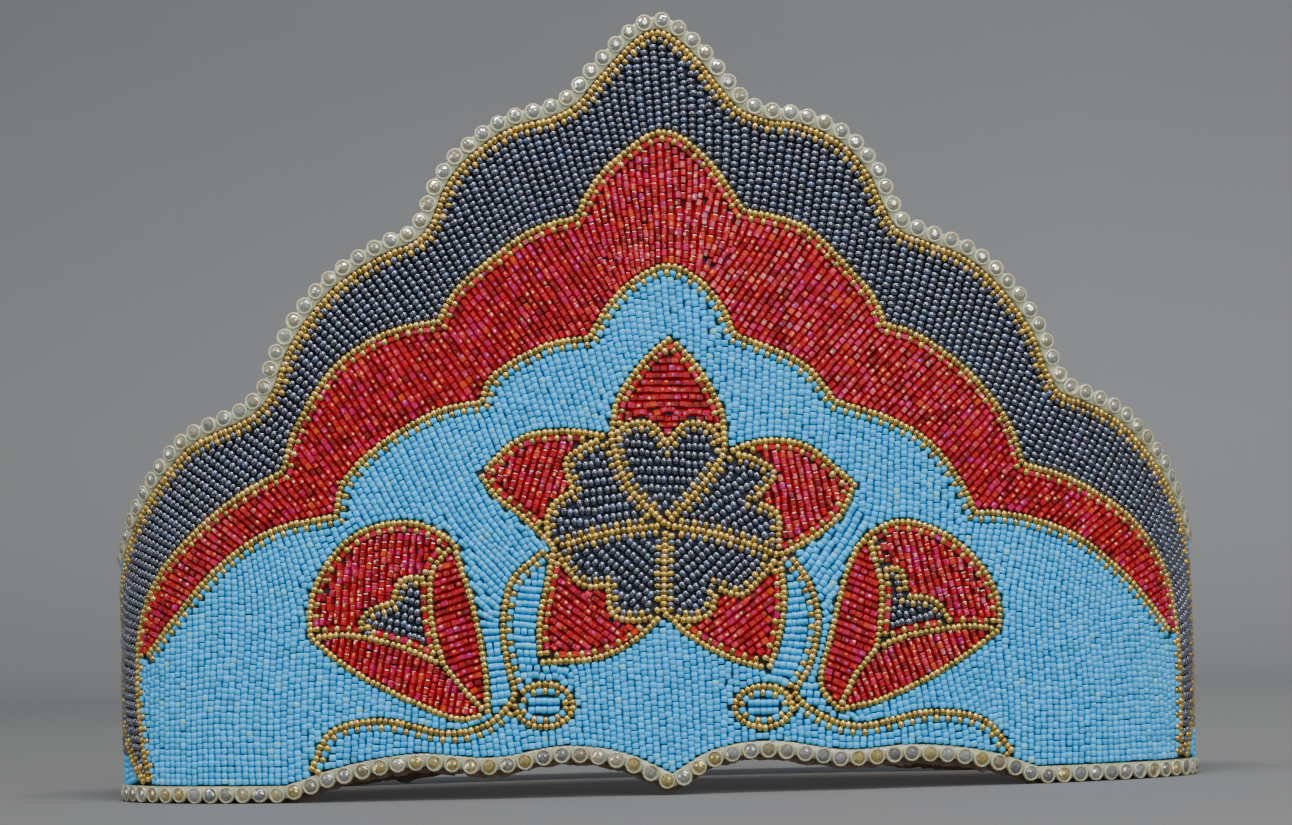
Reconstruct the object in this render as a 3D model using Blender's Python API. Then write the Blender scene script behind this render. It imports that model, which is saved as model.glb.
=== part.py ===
"""Beaded tiara: a flattened ring of leather with a tall scalloped front and a low back band.

Every layer is drawn flat, as it is sewn: x is the distance round the ring from the front centre,
y the height above the surface it stands on, z the depth outward. The flat sheets are then creased
at common stations and bent round the ring, so that the layers keep their gaps in the curve.
"""
import math

import bmesh
import bpy
import numpy as np

MM = 0.001

# Ring in plan, at the face of the beads
HALF_WIDTH = 124 * MM
HALF_DEPTH = 44 * MM
SQUARENESS = 2.4
CELL_LENGTH = 30 * MM
CELL_TURN = math.radians(11.25)

# Depth of each layer, outward from the face of the beads
LEATHER = (-3.5 * MM, -2.0 * MM)
BEADS = (-1.7 * MM, 0.0 * MM)
GOLD = (-1.7 * MM, 0.2 * MM)
BAND = (-1.7 * MM, 0.5 * MM)

# Widths and gaps along the sheet
GAP = 0.3 * MM
GOLD_HALF = 1.2 * MM
FINE_HALF = 1.0 * MM
BAND_HALF = 1.9 * MM
BAND_FROM_GOLD = 3.5 * MM
LEATHER_BELOW_BAND = 1.4 * MM
LEATHER_UNDER_BAND = 0.4 * MM

# Fineness of the outlines and the solids
SMOOTHNESS = 0.25 * MM
FLAT_TURN = math.radians(0.3)
WELD = 0.001 * MM
MITRE_LIMIT = 0.25
FOLD_SHARE = 0.97
PLAN_SAMPLES = 40001
CURVE_SAMPLES = 12
BACK_SAMPLES = 121
LOOP_SIDES = 14
CUT_REACH = 20 * MM

# Cut stones on the banding
STONE_STEP = 4.05 * MM
STONE_RADIUS = 1.45 * MM
TABLE_RADIUS = 0.75 * MM
STONE_HEIGHT = 0.9 * MM
STONE_SINK = 0.3 * MM
STONE_SIDES = 8

# Back band
BACK_TOP = 55 * MM
BACK_DIP = 3 * MM
BACK_ARCH_HALF = 95 * MM
BACK_ARCH_RISE = 5 * MM
STRIPE_LOW = 10.5 * MM
STRIPE_HIGH = 20 * MM

# Outlines in millimetres. Columns: distance from the front centre, height, 1 at a corner
OUTER_LINE = [
    (-124.8, 6, 0), (-131, 12, 0), (-138, 21, 0), (-141, 33, 0), (-139, 45, 0), (-131, 54.5, 0),
    (-120, 67, 0), (-108, 78, 0), (-92, 84.6, 0), (-87, 89.5, 0), (-82.7, 99.4, 0), (-73, 111.8, 0),
    (-61, 119.3, 0), (-54, 122, 0), (-50.3, 126, 0), (-46.5, 134.5, 0), (-42, 140, 0), (-33, 146.2, 0),
    (-23, 148.8, 0), (-17.2, 152, 0), (-12, 158, 0), (-0.5, 167.6, 0), (7, 162.3, 0), (12.6, 155, 0),
    (17, 150, 0), (23, 147.4, 0), (31, 146.2, 0), (39.5, 142.3, 0), (45.5, 135.5, 0), (48, 129.5, 0),
    (52, 122.8, 0), (58.4, 120, 0), (68, 116.2, 0), (76, 109.3, 0), (83, 99.6, 0), (86, 92, 0),
    (89.5, 86.2, 0), (96, 83.8, 0), (104, 80.4, 0), (112, 74.3, 0), (120, 66, 0), (127, 57, 0),
    (132, 48, 0), (134.5, 38, 0), (134.5, 26, 0), (131, 14, 0), (126.3, 6, 0),
]
RED_LINE = [
    (-122, 6.4, 0), (-124.3, 15, 0), (-125.6, 28, 0), (-124, 39.5, 0), (-117.6, 49.8, 0),
    (-105.5, 60.7, 0), (-94.4, 68, 0), (-85, 72.4, 1), (-82, 81.5, 0), (-73.5, 94.4, 0),
    (-65.5, 100.2, 0), (-57, 103.3, 0), (-49.2, 104.4, 1), (-46, 110.5, 0), (-35.3, 119.5, 0),
    (-27.9, 124.2, 0), (-18.5, 126.7, 1), (-14.5, 134, 0), (-9.7, 139.2, 0), (0.8, 145.4, 0),
    (9.6, 139.4, 0), (14, 133.4, 0), (17.5, 127.8, 1), (31.2, 123.8, 0), (40, 115.6, 0),
    (46, 108.4, 0), (48.8, 102, 1), (56, 99.6, 0), (67.4, 91.5, 0), (76.5, 80.4, 0),
    (80, 70.6, 1), (92.8, 66.6, 0), (108.9, 57.3, 0), (119.4, 44.5, 0), (123.2, 29.8, 0),
    (123.4, 16.8, 0), (122.6, 6.4, 0),
]
BLUE_LINE = [
    (-121.3, 32.4, 0), (-112, 41.4, 0), (-101, 51.7, 0), (-88, 59.3, 0), (-73, 62.2, 1),
    (-71.3, 69.5, 0), (-63, 77.6, 0), (-49.7, 84.7, 0), (-40.2, 86.4, 1), (-38, 91.6, 0),
    (-25.6, 98.6, 0), (-16.3, 100, 1), (-11.4, 107.6, 0), (-6.2, 112.6, 0), (1, 115.6, 0),
    (6.8, 112.9, 0), (11.6, 107.6, 0), (15, 100.2, 1), (30.3, 93.3, 0), (37.2, 85, 1),
    (49.2, 81, 0), (57.7, 76.1, 0), (65.3, 66.6, 0), (68.4, 59.8, 1), (76.9, 59.3, 0),
    (92.4, 54.5, 0), (106.5, 44.7, 0), (119.6, 32.6, 0),
]
HEM_LINE = [
    (-142.8, 1.9, 0), (-86, 1.9, 1), (-73, 5.9, 0), (-57, 8.4, 0), (-40, 7.2, 0), (-24, 9.4, 0),
    (-12, 7.8, 0), (-0.5, 2.6, 1), (9, 7.8, 0), (21, 9.4, 0), (38, 7, 0), (54, 7.7, 0),
    (70, 5.7, 0), (82, 1.9, 1), (142.8, 1.9, 0),
]

# Flower: the points where two petals meet, then each petal's outer edge and each heart's notched edge
HEART_OF_FLOWER = (-0.8, 59.2)
JOINS = {
    "upper_left": (-12.4, 78.7), "upper_right": (12.6, 74.6), "right": (24.2, 52),
    "bottom": (-1.6, 40), "left": (-25.4, 54.8),
}
SPOKE_BENDS = {
    "upper_left": (-9, 68.3), "upper_right": (7.4, 67.6), "right": (11.5, 56.6),
    "bottom": (-1.3, 50), "left": (-13.5, 57.7),
}
PETALS = {
    "petal_top": ("upper_left", [(-10.6, 87, 0), (-4.4, 95.6, 0), (1.2, 100.4, 1), (7.4, 93.3, 0),
                                 (12.3, 83, 0)], "upper_right"),
    "petal_right": ("upper_right", [(20, 77, 0), (30, 76.2, 0), (41.4, 67.2, 1), (38, 60.6, 0),
                                    (31, 55.2, 0)], "right"),
    "petal_lower_right": ("right", [(25, 43, 0), (23.8, 34.5, 0), (21.3, 27, 1), (12.5, 29.8, 0),
                                    (3.4, 35.2, 0)], "bottom"),
    "petal_lower_left": ("bottom", [(-7.4, 34.6, 0), (-15.6, 30.6, 0), (-28.9, 29.6, 1),
                                    (-29, 38, 0), (-27.2, 46.8, 0)], "left"),
    "petal_left": ("left", [(-32, 61.4, 0), (-38.3, 66.6, 0), (-41.3, 71.2, 1), (-32.5, 78.8, 0),
                            (-22, 80.2, 0)], "upper_left"),
}
HEART_EDGES = {
    "petal_top": [(-8.2, 81.5, 0), (-3.6, 81.5, 0), (0, 77, 1), (4.4, 81.4, 0), (9.6, 80.4, 0)],
    "petal_right": [(18, 73.8, 0), (23.6, 70, 0), (18.8, 64, 1), (24, 61, 0), (24.2, 55.6, 0)],
    "petal_lower_right": [(18.6, 45.6, 0), (15.3, 43.3, 0), (10.4, 45, 1), (8.3, 39.4, 0),
                          (3.6, 38.2, 0)],
    "petal_lower_left": [(-6.4, 38.5, 0), (-12.8, 39.6, 0), (-13.8, 46.2, 1), (-19, 46.2, 0),
                         (-22.4, 49.6, 0)],
    "petal_left": [(-27, 59.4, 0), (-25.6, 64, 0), (-21, 67, 1), (-22.4, 73.6, 0), (-17.6, 77.2, 0)],
}

# Buds. The rim runs from the tip round the bud, the veins part it into lobes
BUDS = {
    "left": {
        "tip": (-40.8, 18.6), "mouth": (-47.2, 56), "corner": (-79.9, 36), "fork": (-50.2, 29.4),
        "side_rim": [(-41.3, 29, 0), (-44, 44, 0), (-46.6, 52.4, 0)],
        "top_rim": [(-54, 60.2, 0), (-62.5, 60.8, 0), (-71, 57.4, 0), (-77.6, 49.6, 0), (-80, 42, 0)],
        "low_rim": [(-70.5, 28.7, 0), (-55, 20.6, 0), (-46.6, 17.6, 0)],
        "vein": [(-52, 51, 0), (-53, 44, 0), (-52.2, 36.5, 0)],
        "stalk": [(-46.4, 24.6, 0)],
        "fold": [(-72.3, 36.6, 0), (-60.4, 34, 0)],
        "heart": ((-68.6, 36.4), [(-67.6, 41, 0), (-61.2, 43.6, 1), (-59.2, 48.4, 0)], (-52.9, 48.6)),
    },
    "right": {
        "tip": (36.6, 17.6), "mouth": (44.4, 56.2), "corner": (73.8, 34.4), "fork": (45.4, 30.9),
        "side_rim": [(32.8, 23, 0), (35.4, 34.4, 0), (38.6, 46.2, 0), (41.2, 52.4, 0)],
        "top_rim": [(51, 58.8, 0), (61, 56.2, 0), (69.6, 49, 0), (73.8, 40.6, 0)],
        "low_rim": [(62.7, 27.2, 0), (47, 20, 0)],
        "vein": [(45.4, 51, 0), (46.9, 45, 0), (46.6, 38.4, 0)],
        "stalk": [(40.6, 25.4, 0)],
        "fold": [(66.6, 35.4, 0), (59, 34.6, 0), (51.8, 33.4, 0)],
        "heart": ((63.2, 35.1), [(59, 41, 0), (52.6, 42.4, 1), (51.2, 48.2, 0)], (46.2, 48)),
    },
}

# Stems run from the flower down and out to the hem, with a small loop beside each
STEMS = {
    "left": {
        "path": [(-28.4, 52.6, 0), (-34, 47.6, 0), (-36.4, 37.9, 0), (-35.2, 28, 0), (-34.2, 22.4, 0),
                 (-39.8, 16.2, 0), (-49, 13.9, 0), (-64.7, 16.9, 0), (-75.4, 14.6, 0), (-79.4, 7.4, 0)],
        "loop": (-28.4, 20.2, 5.6, 4),
    },
    "right": {
        "path": [(26.6, 50.6, 0), (30, 45.5, 0), (31.8, 37.4, 0), (29.6, 27.8, 0), (26.3, 21.5, 0),
                 (31.2, 16.6, 0), (40, 13.3, 0), (58, 15.9, 0), (69.6, 13.6, 0), (75, 7.4, 0)],
        "loop": (19.8, 18.8, 5.6, 3.8),
    },
}

# Colours, then roughness and metallic
MATERIALS = {
    "leather": ((0.16, 0.10, 0.06), 0.85, 0.0),
    "navy_beads": ((0.02, 0.03, 0.07), 0.25, 0.0),
    "red_beads": ((0.45, 0.01, 0.03), 0.20, 0.0),
    "blue_beads": ((0.12, 0.48, 0.66), 0.45, 0.0),
    "gold_beads": ((0.55, 0.38, 0.13), 0.25, 1.0),
    "rhinestone_band": ((0.75, 0.75, 0.72), 0.30, 0.0),
}


def ring_curve():
    """Dense points of the plan superellipse with the distance round it, from back centre to back centre."""
    turn = np.linspace(-1.5 * math.pi, 0.5 * math.pi, PLAN_SAMPLES)
    cos, sin = np.cos(turn), np.sin(turn)
    power = 2 / SQUARENESS
    x = HALF_WIDTH * np.sign(cos) * np.abs(cos) ** power
    y = HALF_DEPTH * np.sign(sin) * np.abs(sin) ** power
    along = np.concatenate([[0.0], np.cumsum(np.hypot(np.diff(x), np.diff(y)))])
    return along - along[-1] / 2, np.stack([x, y], axis=1)


def ring_stations():
    """Crease places round the ring, closer where it turns, with each corner and its mitred outward step."""
    along, points = ring_curve()
    length = along[-1] * 2
    steps = np.diff(points, axis=0)
    heading = np.unwrap(np.arctan2(steps[:, 1], steps[:, 0]))
    heading = np.concatenate([[heading[0]], heading])
    measure = (along - along[0]) / CELL_LENGTH + (heading - heading[0]) / CELL_TURN
    count = 4 * math.ceil(measure[-1] / 4)
    stations = np.interp(np.linspace(0, measure[-1], count + 1), measure, along)[:-1]
    corners = np.stack([np.interp(stations, along, points[:, k]) for k in (0, 1)], axis=1)
    after = np.roll(corners, -1, axis=0) - corners
    after /= np.linalg.norm(after, axis=1)[:, None]
    before = np.roll(after, 1, axis=0)
    out_after = np.stack([after[:, 1], -after[:, 0]], axis=1)
    out_before = np.stack([before[:, 1], -before[:, 0]], axis=1)
    mitre = (out_after + out_before) / (1 + (out_after * out_before).sum(axis=1))[:, None]
    stations = np.concatenate([stations, stations + length, [stations[0] + 2 * length]])
    wrap_index = np.arange(len(stations)) % count
    return stations, corners[wrap_index], mitre[wrap_index], length


STATIONS, CORNERS, MITRES, RING_LENGTH = ring_stations()
SIDE = RING_LENGTH / 4
BACK = RING_LENGTH / 2


def smooth_run(knots):
    """Points of a centripetal Catmull-Rom curve through one run of knots."""
    if len(knots) == 2:
        return knots
    padded = np.vstack([2 * knots[0] - knots[1], knots, 2 * knots[-1] - knots[-2]])
    gaps = np.sqrt(np.linalg.norm(np.diff(padded, axis=0), axis=1))
    times = np.concatenate([[0.0], np.cumsum(gaps)])
    pieces = []
    for k in range(1, len(padded) - 2):
        t0, t1, t2, t3 = times[k - 1:k + 3]
        p0, p1, p2, p3 = padded[k - 1:k + 3]
        t = np.linspace(t1, t2, CURVE_SAMPLES, endpoint=False)[:, None]
        a1 = (t1 - t) / (t1 - t0) * p0 + (t - t0) / (t1 - t0) * p1
        a2 = (t2 - t) / (t2 - t1) * p1 + (t - t1) / (t2 - t1) * p2
        a3 = (t3 - t) / (t3 - t2) * p2 + (t - t2) / (t3 - t2) * p3
        b1 = (t2 - t) / (t2 - t0) * a1 + (t - t0) / (t2 - t0) * a2
        b2 = (t3 - t) / (t3 - t1) * a2 + (t - t1) / (t3 - t1) * a3
        pieces.append((t2 - t) / (t2 - t1) * b1 + (t - t1) / (t2 - t1) * b2)
    pieces.append(knots[-1:])
    return np.vstack(pieces)


def path(rows, start=None, end=None):
    """A smooth line through a table in millimetres, broken at its corner rows."""
    rows = list(rows)
    if start:
        rows.insert(0, (*start, 1))
    if end:
        rows.append((*end, 1))
    knots = np.array([row[:2] for row in rows], dtype=float) * MM
    breaks = [0] + [k for k in range(1, len(rows) - 1) if rows[k][2]] + [len(rows) - 1]
    runs = [smooth_run(knots[a:b + 1]) for a, b in zip(breaks, breaks[1:])]
    return np.vstack([runs[0]] + [run[1:] for run in runs[1:]])


def loop_of(*lines):
    """One closed outline from lines laid end to end."""
    joined = np.vstack(lines)
    keep = np.linalg.norm(joined - np.roll(joined, 1, axis=0), axis=1) > WELD
    joined = joined[keep]
    return joined if area(joined) > 0 else joined[::-1]


def area(loop):
    """Signed area of a closed outline, positive when it runs anticlockwise."""
    x, y = loop[:, 0], loop[:, 1]
    return 0.5 * float(np.sum(x * np.roll(y, -1) - np.roll(x, -1) * y))


def distance_to(points, line, closed):
    """Shortest distance from each point to a line."""
    ends = np.roll(line, -1, axis=0) if closed else line[1:]
    starts = line if closed else line[:-1]
    run = ends - starts
    size = np.maximum((run ** 2).sum(axis=1), WELD ** 2)
    offset = points[:, None, :] - starts[None]
    share = np.clip((offset * run[None]).sum(axis=2) / size, 0, 1)
    foot = starts[None] + share[:, :, None] * run[None]
    return np.linalg.norm(points[:, None, :] - foot, axis=2).min(axis=1)


def beside(line, step, closed=False):
    """The line moved to its left by a distance, with mitred corners and no folded stretches."""
    after = (np.roll(line, -1, axis=0) if closed else np.vstack([line[1:], 2 * line[-1] - line[-2]])) - line
    after /= np.linalg.norm(after, axis=1)[:, None]
    before = np.roll(after, 1, axis=0)
    if not closed:
        before[0] = after[0]
    left_after = np.stack([-after[:, 1], after[:, 0]], axis=1)
    left_before = np.stack([-before[:, 1], before[:, 0]], axis=1)
    share = 1 + (left_after * left_before).sum(axis=1)
    moved = line + step * (left_after + left_before) / np.maximum(share, MITRE_LIMIT)[:, None]
    return moved[distance_to(moved, line, closed) > abs(step) * FOLD_SHARE]


def thin(line, closed=False):
    """The line with only the points that its shape needs."""
    if closed:
        far = int(np.argmax(np.linalg.norm(line - line[0], axis=1)))
        first = thin(line[:far + 1])
        second = thin(np.vstack([line[far:], line[:1]]))
        return np.vstack([first[:-1], second[:-1]])
    keep = [0, len(line) - 1]
    open_spans = [(0, len(line) - 1)]
    while open_spans:
        a, b = open_spans.pop()
        if b - a < 2:
            continue
        away = distance_to(line[a + 1:b], line[[a, b]], False)
        worst = int(np.argmax(away))
        if away[worst] > SMOOTHNESS:
            middle = a + 1 + worst
            keep.append(middle)
            open_spans += [(a, middle), (middle, b)]
    return line[sorted(keep)]


def inset(loop, step):
    """A closed outline drawn in by a distance, or let out where the distance is negative."""
    return thin(beside(loop, step, closed=True), closed=True)


def ribbon(line, half):
    """The closed outline of an open line widened to both sides."""
    return np.vstack([thin(beside(line, half))[::-1], thin(beside(line, -half))])


def collection(name):
    """A collection of the scene, made when it is first asked for."""
    if name not in bpy.data.collections:
        bpy.context.scene.collection.children.link(bpy.data.collections.new(name))
    return bpy.data.collections[name]


def material(slot):
    """The material of a slot, from its row of colour, roughness and metallic."""
    if slot not in bpy.data.materials:
        colour, roughness, metallic = MATERIALS[slot]
        made = bpy.data.materials.new(slot)
        made.use_nodes = True
        shader = made.node_tree.nodes["Principled BSDF"]
        shader.inputs["Base Color"].default_value = (*colour, 1)
        shader.inputs["Roughness"].default_value = roughness
        shader.inputs["Metallic"].default_value = metallic
        made.diffuse_color = (*colour, 1)
    return bpy.data.materials[slot]


def flat_sheet(name, outlines, depth, group="beaded_tiara"):
    """A flat solid: closed outlines filled as a 2D curve and extruded between two depths."""
    curve = bpy.data.curves.new(name, "CURVE")
    curve.dimensions = "2D"
    curve.fill_mode = "BOTH"
    curve.extrude = (depth[1] - depth[0]) / 2
    for outline in outlines:
        spline = curve.splines.new("POLY")
        spline.points.add(len(outline) - 1)
        spline.points.foreach_set("co", np.hstack([outline, np.zeros((len(outline), 1)),
                                                   np.ones((len(outline), 1))]).ravel())
        spline.use_cyclic_u = True
    drawn = bpy.data.objects.new(name + "_curve", curve)
    bpy.context.scene.collection.objects.link(drawn)
    evaluated = drawn.evaluated_get(bpy.context.evaluated_depsgraph_get())
    mesh = bpy.data.meshes.new_from_object(evaluated)
    bpy.data.objects.remove(drawn)
    bpy.data.curves.remove(curve)
    work = bmesh.new()
    work.from_mesh(mesh)
    bmesh.ops.remove_doubles(work, verts=work.verts, dist=WELD)
    bmesh.ops.translate(work, verts=work.verts, vec=(0, 0, (depth[0] + depth[1]) / 2))
    bmesh.ops.recalc_face_normals(work, faces=work.faces)
    work.to_mesh(mesh)
    work.free()
    sheet = bpy.data.objects.new(name, mesh)
    mesh.name = name
    collection(group).objects.link(sheet)
    return sheet


def cutter(name, outline):
    """A solid that cuts through every bead layer."""
    made = flat_sheet(name, [outline], (BEADS[0] - MM, BAND[1] + MM), "cutters")
    made.hide_render = True
    made.display_type = "WIRE"
    return made


def combine(target, other, operation):
    """A Boolean of two flat solids, applied to the first."""
    step = target.modifiers.new(operation.lower(), "BOOLEAN")
    step.operation = operation
    step.object = other
    evaluated = target.evaluated_get(bpy.context.evaluated_depsgraph_get())
    mesh = bpy.data.meshes.new_from_object(evaluated)
    target.modifiers.clear()
    target.data = mesh
    mesh.name = target.name


def bent(sheet, slot):
    """Crease a flat solid at the stations, bend it round the ring and give it its material."""
    work = bmesh.new()
    work.from_mesh(sheet.data)
    low = min(vert.co.x for vert in work.verts)
    high = max(vert.co.x for vert in work.verts)
    for station in STATIONS:
        if low < station < high:
            everything = list(work.verts) + list(work.edges) + list(work.faces)
            bmesh.ops.bisect_plane(work, geom=everything, dist=2 * WELD, plane_co=(station, 0, 0),
                                   plane_no=(1, 0, 0))
    work.to_mesh(sheet.data)
    work.free()
    flat = np.empty(len(sheet.data.vertices) * 3, dtype=np.float32)
    sheet.data.vertices.foreach_get("co", flat)
    along, height, depth = flat.reshape(-1, 3).astype(float).T
    cell = np.clip(np.searchsorted(STATIONS, along) - 1, 0, len(STATIONS) - 2)
    share = ((along - STATIONS[cell]) / (STATIONS[cell + 1] - STATIONS[cell]))[:, None]
    near = CORNERS[cell] + depth[:, None] * MITRES[cell]
    far = CORNERS[cell + 1] + depth[:, None] * MITRES[cell + 1]
    plan = near * (1 - share) + far * share
    sheet.data.vertices.foreach_set("co", np.column_stack([plan, height]).ravel())
    work = bmesh.new()
    work.from_mesh(sheet.data)
    bmesh.ops.dissolve_limit(work, angle_limit=FLAT_TURN, verts=work.verts, edges=work.edges,
                             delimit=set())
    bmesh.ops.triangulate(work, faces=work.faces, quad_method="BEAUTY", ngon_method="BEAUTY")
    bmesh.ops.recalc_face_normals(work, faces=work.faces)
    work.to_mesh(sheet.data)
    work.free()
    sheet.data.materials.clear()
    sheet.data.materials.append(material(slot))
    return sheet


def turned_low(line, low):
    """The line with no point below a height."""
    return np.column_stack([line[:, 0], np.maximum(line[:, 1], low)])


def back_line(height, dip):
    """A line round the back from side to side, lower by a dip in the middle."""
    along = np.linspace(SIDE, 3 * SIDE, BACK_SAMPLES)
    return np.column_stack([along, height - dip * np.sin((along - SIDE) / (2 * SIDE) * math.pi) ** 2])


def back_hem():
    """The back's lower band line: flat at the sides and arched across the middle."""
    along = np.linspace(SIDE, 3 * SIDE, BACK_SAMPLES)
    across = np.clip(np.abs(along - BACK) / BACK_ARCH_HALF, 0, 1)
    return np.column_stack([along, BAND_HALF + BACK_ARCH_RISE * np.cos(across * math.pi / 2) ** 2])


def clip_along(line, low, high):
    """The part of a left-to-right line between two distances, with its ends on them."""
    inside = line[(line[:, 0] > low) & (line[:, 0] < high)]
    ends = np.array([[edge, np.interp(edge, line[:, 0], line[:, 1])] for edge in (low, high)])
    return np.vstack([ends[:1], inside, ends[1:]])


def front_backing(crest, hem):
    """The tall leather front, from the banding's outer part down past the lower banding."""
    top = np.vstack([[[-SIDE + GAP / 2, crest[0, 1]]], crest, [[SIDE - GAP / 2, crest[-1, 1]]]])
    low = turned_low(hem - [0, BAND_HALF + LEATHER_BELOW_BAND], 0.0)
    low = clip_along(low, -SIDE + GAP / 2, SIDE - GAP / 2)
    return bent(flat_sheet("front_backing", [thin(loop_of(top, low[::-1]), True)], LEATHER), "leather")


def back_backing():
    """The low leather band across the back."""
    top = clip_along(back_line(BACK_TOP, BACK_DIP), SIDE + GAP / 2, 3 * SIDE - GAP / 2)
    low = turned_low(back_hem() - [0, BAND_HALF + LEATHER_BELOW_BAND], 0.0)
    low = clip_along(low, SIDE + GAP / 2, 3 * SIDE - GAP / 2)
    return bent(flat_sheet("back_backing", [thin(loop_of(top, low[::-1]), True)], LEATHER), "leather")


def stones_along(line, name):
    """Cut stones in a row: eight facets and a table each, sunk a little into the banding."""
    steps = np.linalg.norm(np.diff(line, axis=0), axis=1)
    along = np.concatenate([[0.0], np.cumsum(steps)])
    count = int(along[-1] / STONE_STEP)
    places = (np.arange(count) + 0.5) * along[-1] / count
    work = bmesh.new()
    height = STONE_HEIGHT + STONE_SINK
    low_radius = STONE_RADIUS + (STONE_RADIUS - TABLE_RADIUS) * STONE_SINK / STONE_HEIGHT
    for place in places:
        x, y = (np.interp(place, along, line[:, k]) for k in (0, 1))
        made = bmesh.ops.create_cone(work, cap_ends=True, segments=STONE_SIDES, radius1=low_radius,
                                     radius2=TABLE_RADIUS, depth=height)
        bmesh.ops.translate(work, verts=made["verts"], vec=(x, y, BAND[1] - STONE_SINK + height / 2))
    mesh = bpy.data.meshes.new(name)
    work.to_mesh(mesh)
    work.free()
    stones = bpy.data.objects.new(name, mesh)
    collection("cutters").objects.link(stones)
    stones.hide_render = True
    stones.display_type = "WIRE"
    return stones


def banding(name, line, stones):
    """A strip of rhinestone banding along a line, with a row of stones where it shows."""
    strip = flat_sheet(name, [ribbon(line, BAND_HALF)], BAND)
    if stones:
        combine(strip, stones_along(line, name + "_stones"), "UNION")
    return bent(strip, "rhinestone_band")


def gold_line(name, rows):
    """A line of gold beads between two fields."""
    return bent(flat_sheet(name, [ribbon(path(rows), GOLD_HALF)], GOLD), "gold_beads")


def between(name, slot, loop, holes=()):
    """A field of beads inside a closed outline, less what other pieces take."""
    sheet = flat_sheet(name, [thin(loop, True)], BEADS)
    for hole in holes:
        combine(sheet, hole, "DIFFERENCE")
    return bent(sheet, slot)


def flower_loops():
    """Closed outlines of the flower: the whole, and each petal's red tip and navy heart."""
    tips, hearts, rim = {}, {}, []
    for name, (first, rows, last) in PETALS.items():
        edge = path(rows, JOINS[first], JOINS[last])
        notch = path(HEART_EDGES[name], JOINS[first], JOINS[last])
        spoke_in = path([(*SPOKE_BENDS[first], 0)], HEART_OF_FLOWER, JOINS[first])
        spoke_out = path([(*SPOKE_BENDS[last], 0)], JOINS[last], HEART_OF_FLOWER)
        tips[name] = loop_of(edge, notch[::-1])
        hearts[name] = loop_of(spoke_in, notch, spoke_out)
        rim.append(edge)
    return loop_of(*rim), tips, hearts


def flower():
    """Five red petals with navy hearts in one pierced net of gold lines."""
    rim, tips, hearts = flower_loops()
    holes = [inset(loop, FINE_HALF) for loop in (*tips.values(), *hearts.values())]
    net = flat_sheet("flower_gold_net", [inset(rim, -FINE_HALF), *holes], GOLD)
    bent(net, "gold_beads")
    for name in PETALS:
        between(name + "_red", "red_beads", beside(tips[name], FINE_HALF + GAP, True))
        between(name + "_heart", "navy_beads", beside(hearts[name], FINE_HALF + GAP, True))
    return rim


def bud(side):
    """A bud of three red lobes and a navy heart in its own net of gold lines."""
    shape = BUDS[side]
    side_rim = path(shape["side_rim"], shape["tip"], shape["mouth"])
    top_rim = path(shape["top_rim"], shape["mouth"], shape["corner"])
    low_rim = path(shape["low_rim"], shape["corner"], shape["tip"])
    heart_start, heart_rows, heart_end = shape["heart"]
    vein = path(shape["vein"], shape["mouth"], shape["fork"])
    stalk = path(shape["stalk"], shape["fork"], shape["tip"])
    fold = path(shape["fold"], shape["corner"], shape["fork"])
    heart_line = path(heart_rows, heart_start, heart_end)
    vein_cut = int(np.argmin(np.linalg.norm(vein - heart_line[-1], axis=1)))
    fold_cut = int(np.argmin(np.linalg.norm(fold - heart_line[0], axis=1)))
    heart_line[0], heart_line[-1] = fold[fold_cut], vein[vein_cut]
    lobes = {
        "side_lobe": loop_of(side_rim, vein, stalk),
        "low_lobe": loop_of(fold, stalk, low_rim[::-1]),
        "top_lobe": loop_of(top_rim, fold[:fold_cut + 1], heart_line, vein[:vein_cut + 1][::-1]),
        "heart": loop_of(heart_line, vein[vein_cut:], fold[fold_cut:][::-1]),
    }
    rim = loop_of(side_rim, top_rim, low_rim)
    holes = [inset(loop, FINE_HALF) for loop in lobes.values()]
    net = flat_sheet(side + "_bud_gold_net", [inset(rim, -FINE_HALF), *holes], GOLD)
    bent(net, "gold_beads")
    for name, loop in lobes.items():
        slot = "navy_beads" if name == "heart" else "red_beads"
        between(side + "_bud_" + name, slot, beside(loop, FINE_HALF + GAP, True))
    return rim


def ellipse(centre_x, centre_y, radius_x, radius_y):
    """A closed round outline in metres from a centre and two radii in millimetres."""
    turn = np.linspace(0, 2 * math.pi, LOOP_SIDES, endpoint=False)
    return np.column_stack([centre_x + radius_x * np.cos(turn), centre_y + radius_y * np.sin(turn)]) * MM


def stem(side):
    """A gold stem with its small loop. Returns its line and its loop's outline."""
    line = path(STEMS[side]["path"])
    centre_x, centre_y, radius_x, radius_y = STEMS[side]["loop"]
    made = flat_sheet(side + "_stem", [ribbon(line, FINE_HALF)], GOLD)
    fine = FINE_HALF / MM
    outer = ellipse(centre_x, centre_y, radius_x + fine, radius_y + fine)
    inner = ellipse(centre_x, centre_y, radius_x - fine, radius_y - fine)
    ring = flat_sheet(side + "_stem_loop", [outer, inner], GOLD, "cutters")
    ring.hide_render = True
    ring.display_type = "WIRE"
    combine(made, ring, "UNION")
    bent(made, "gold_beads")
    return line, outer


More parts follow.
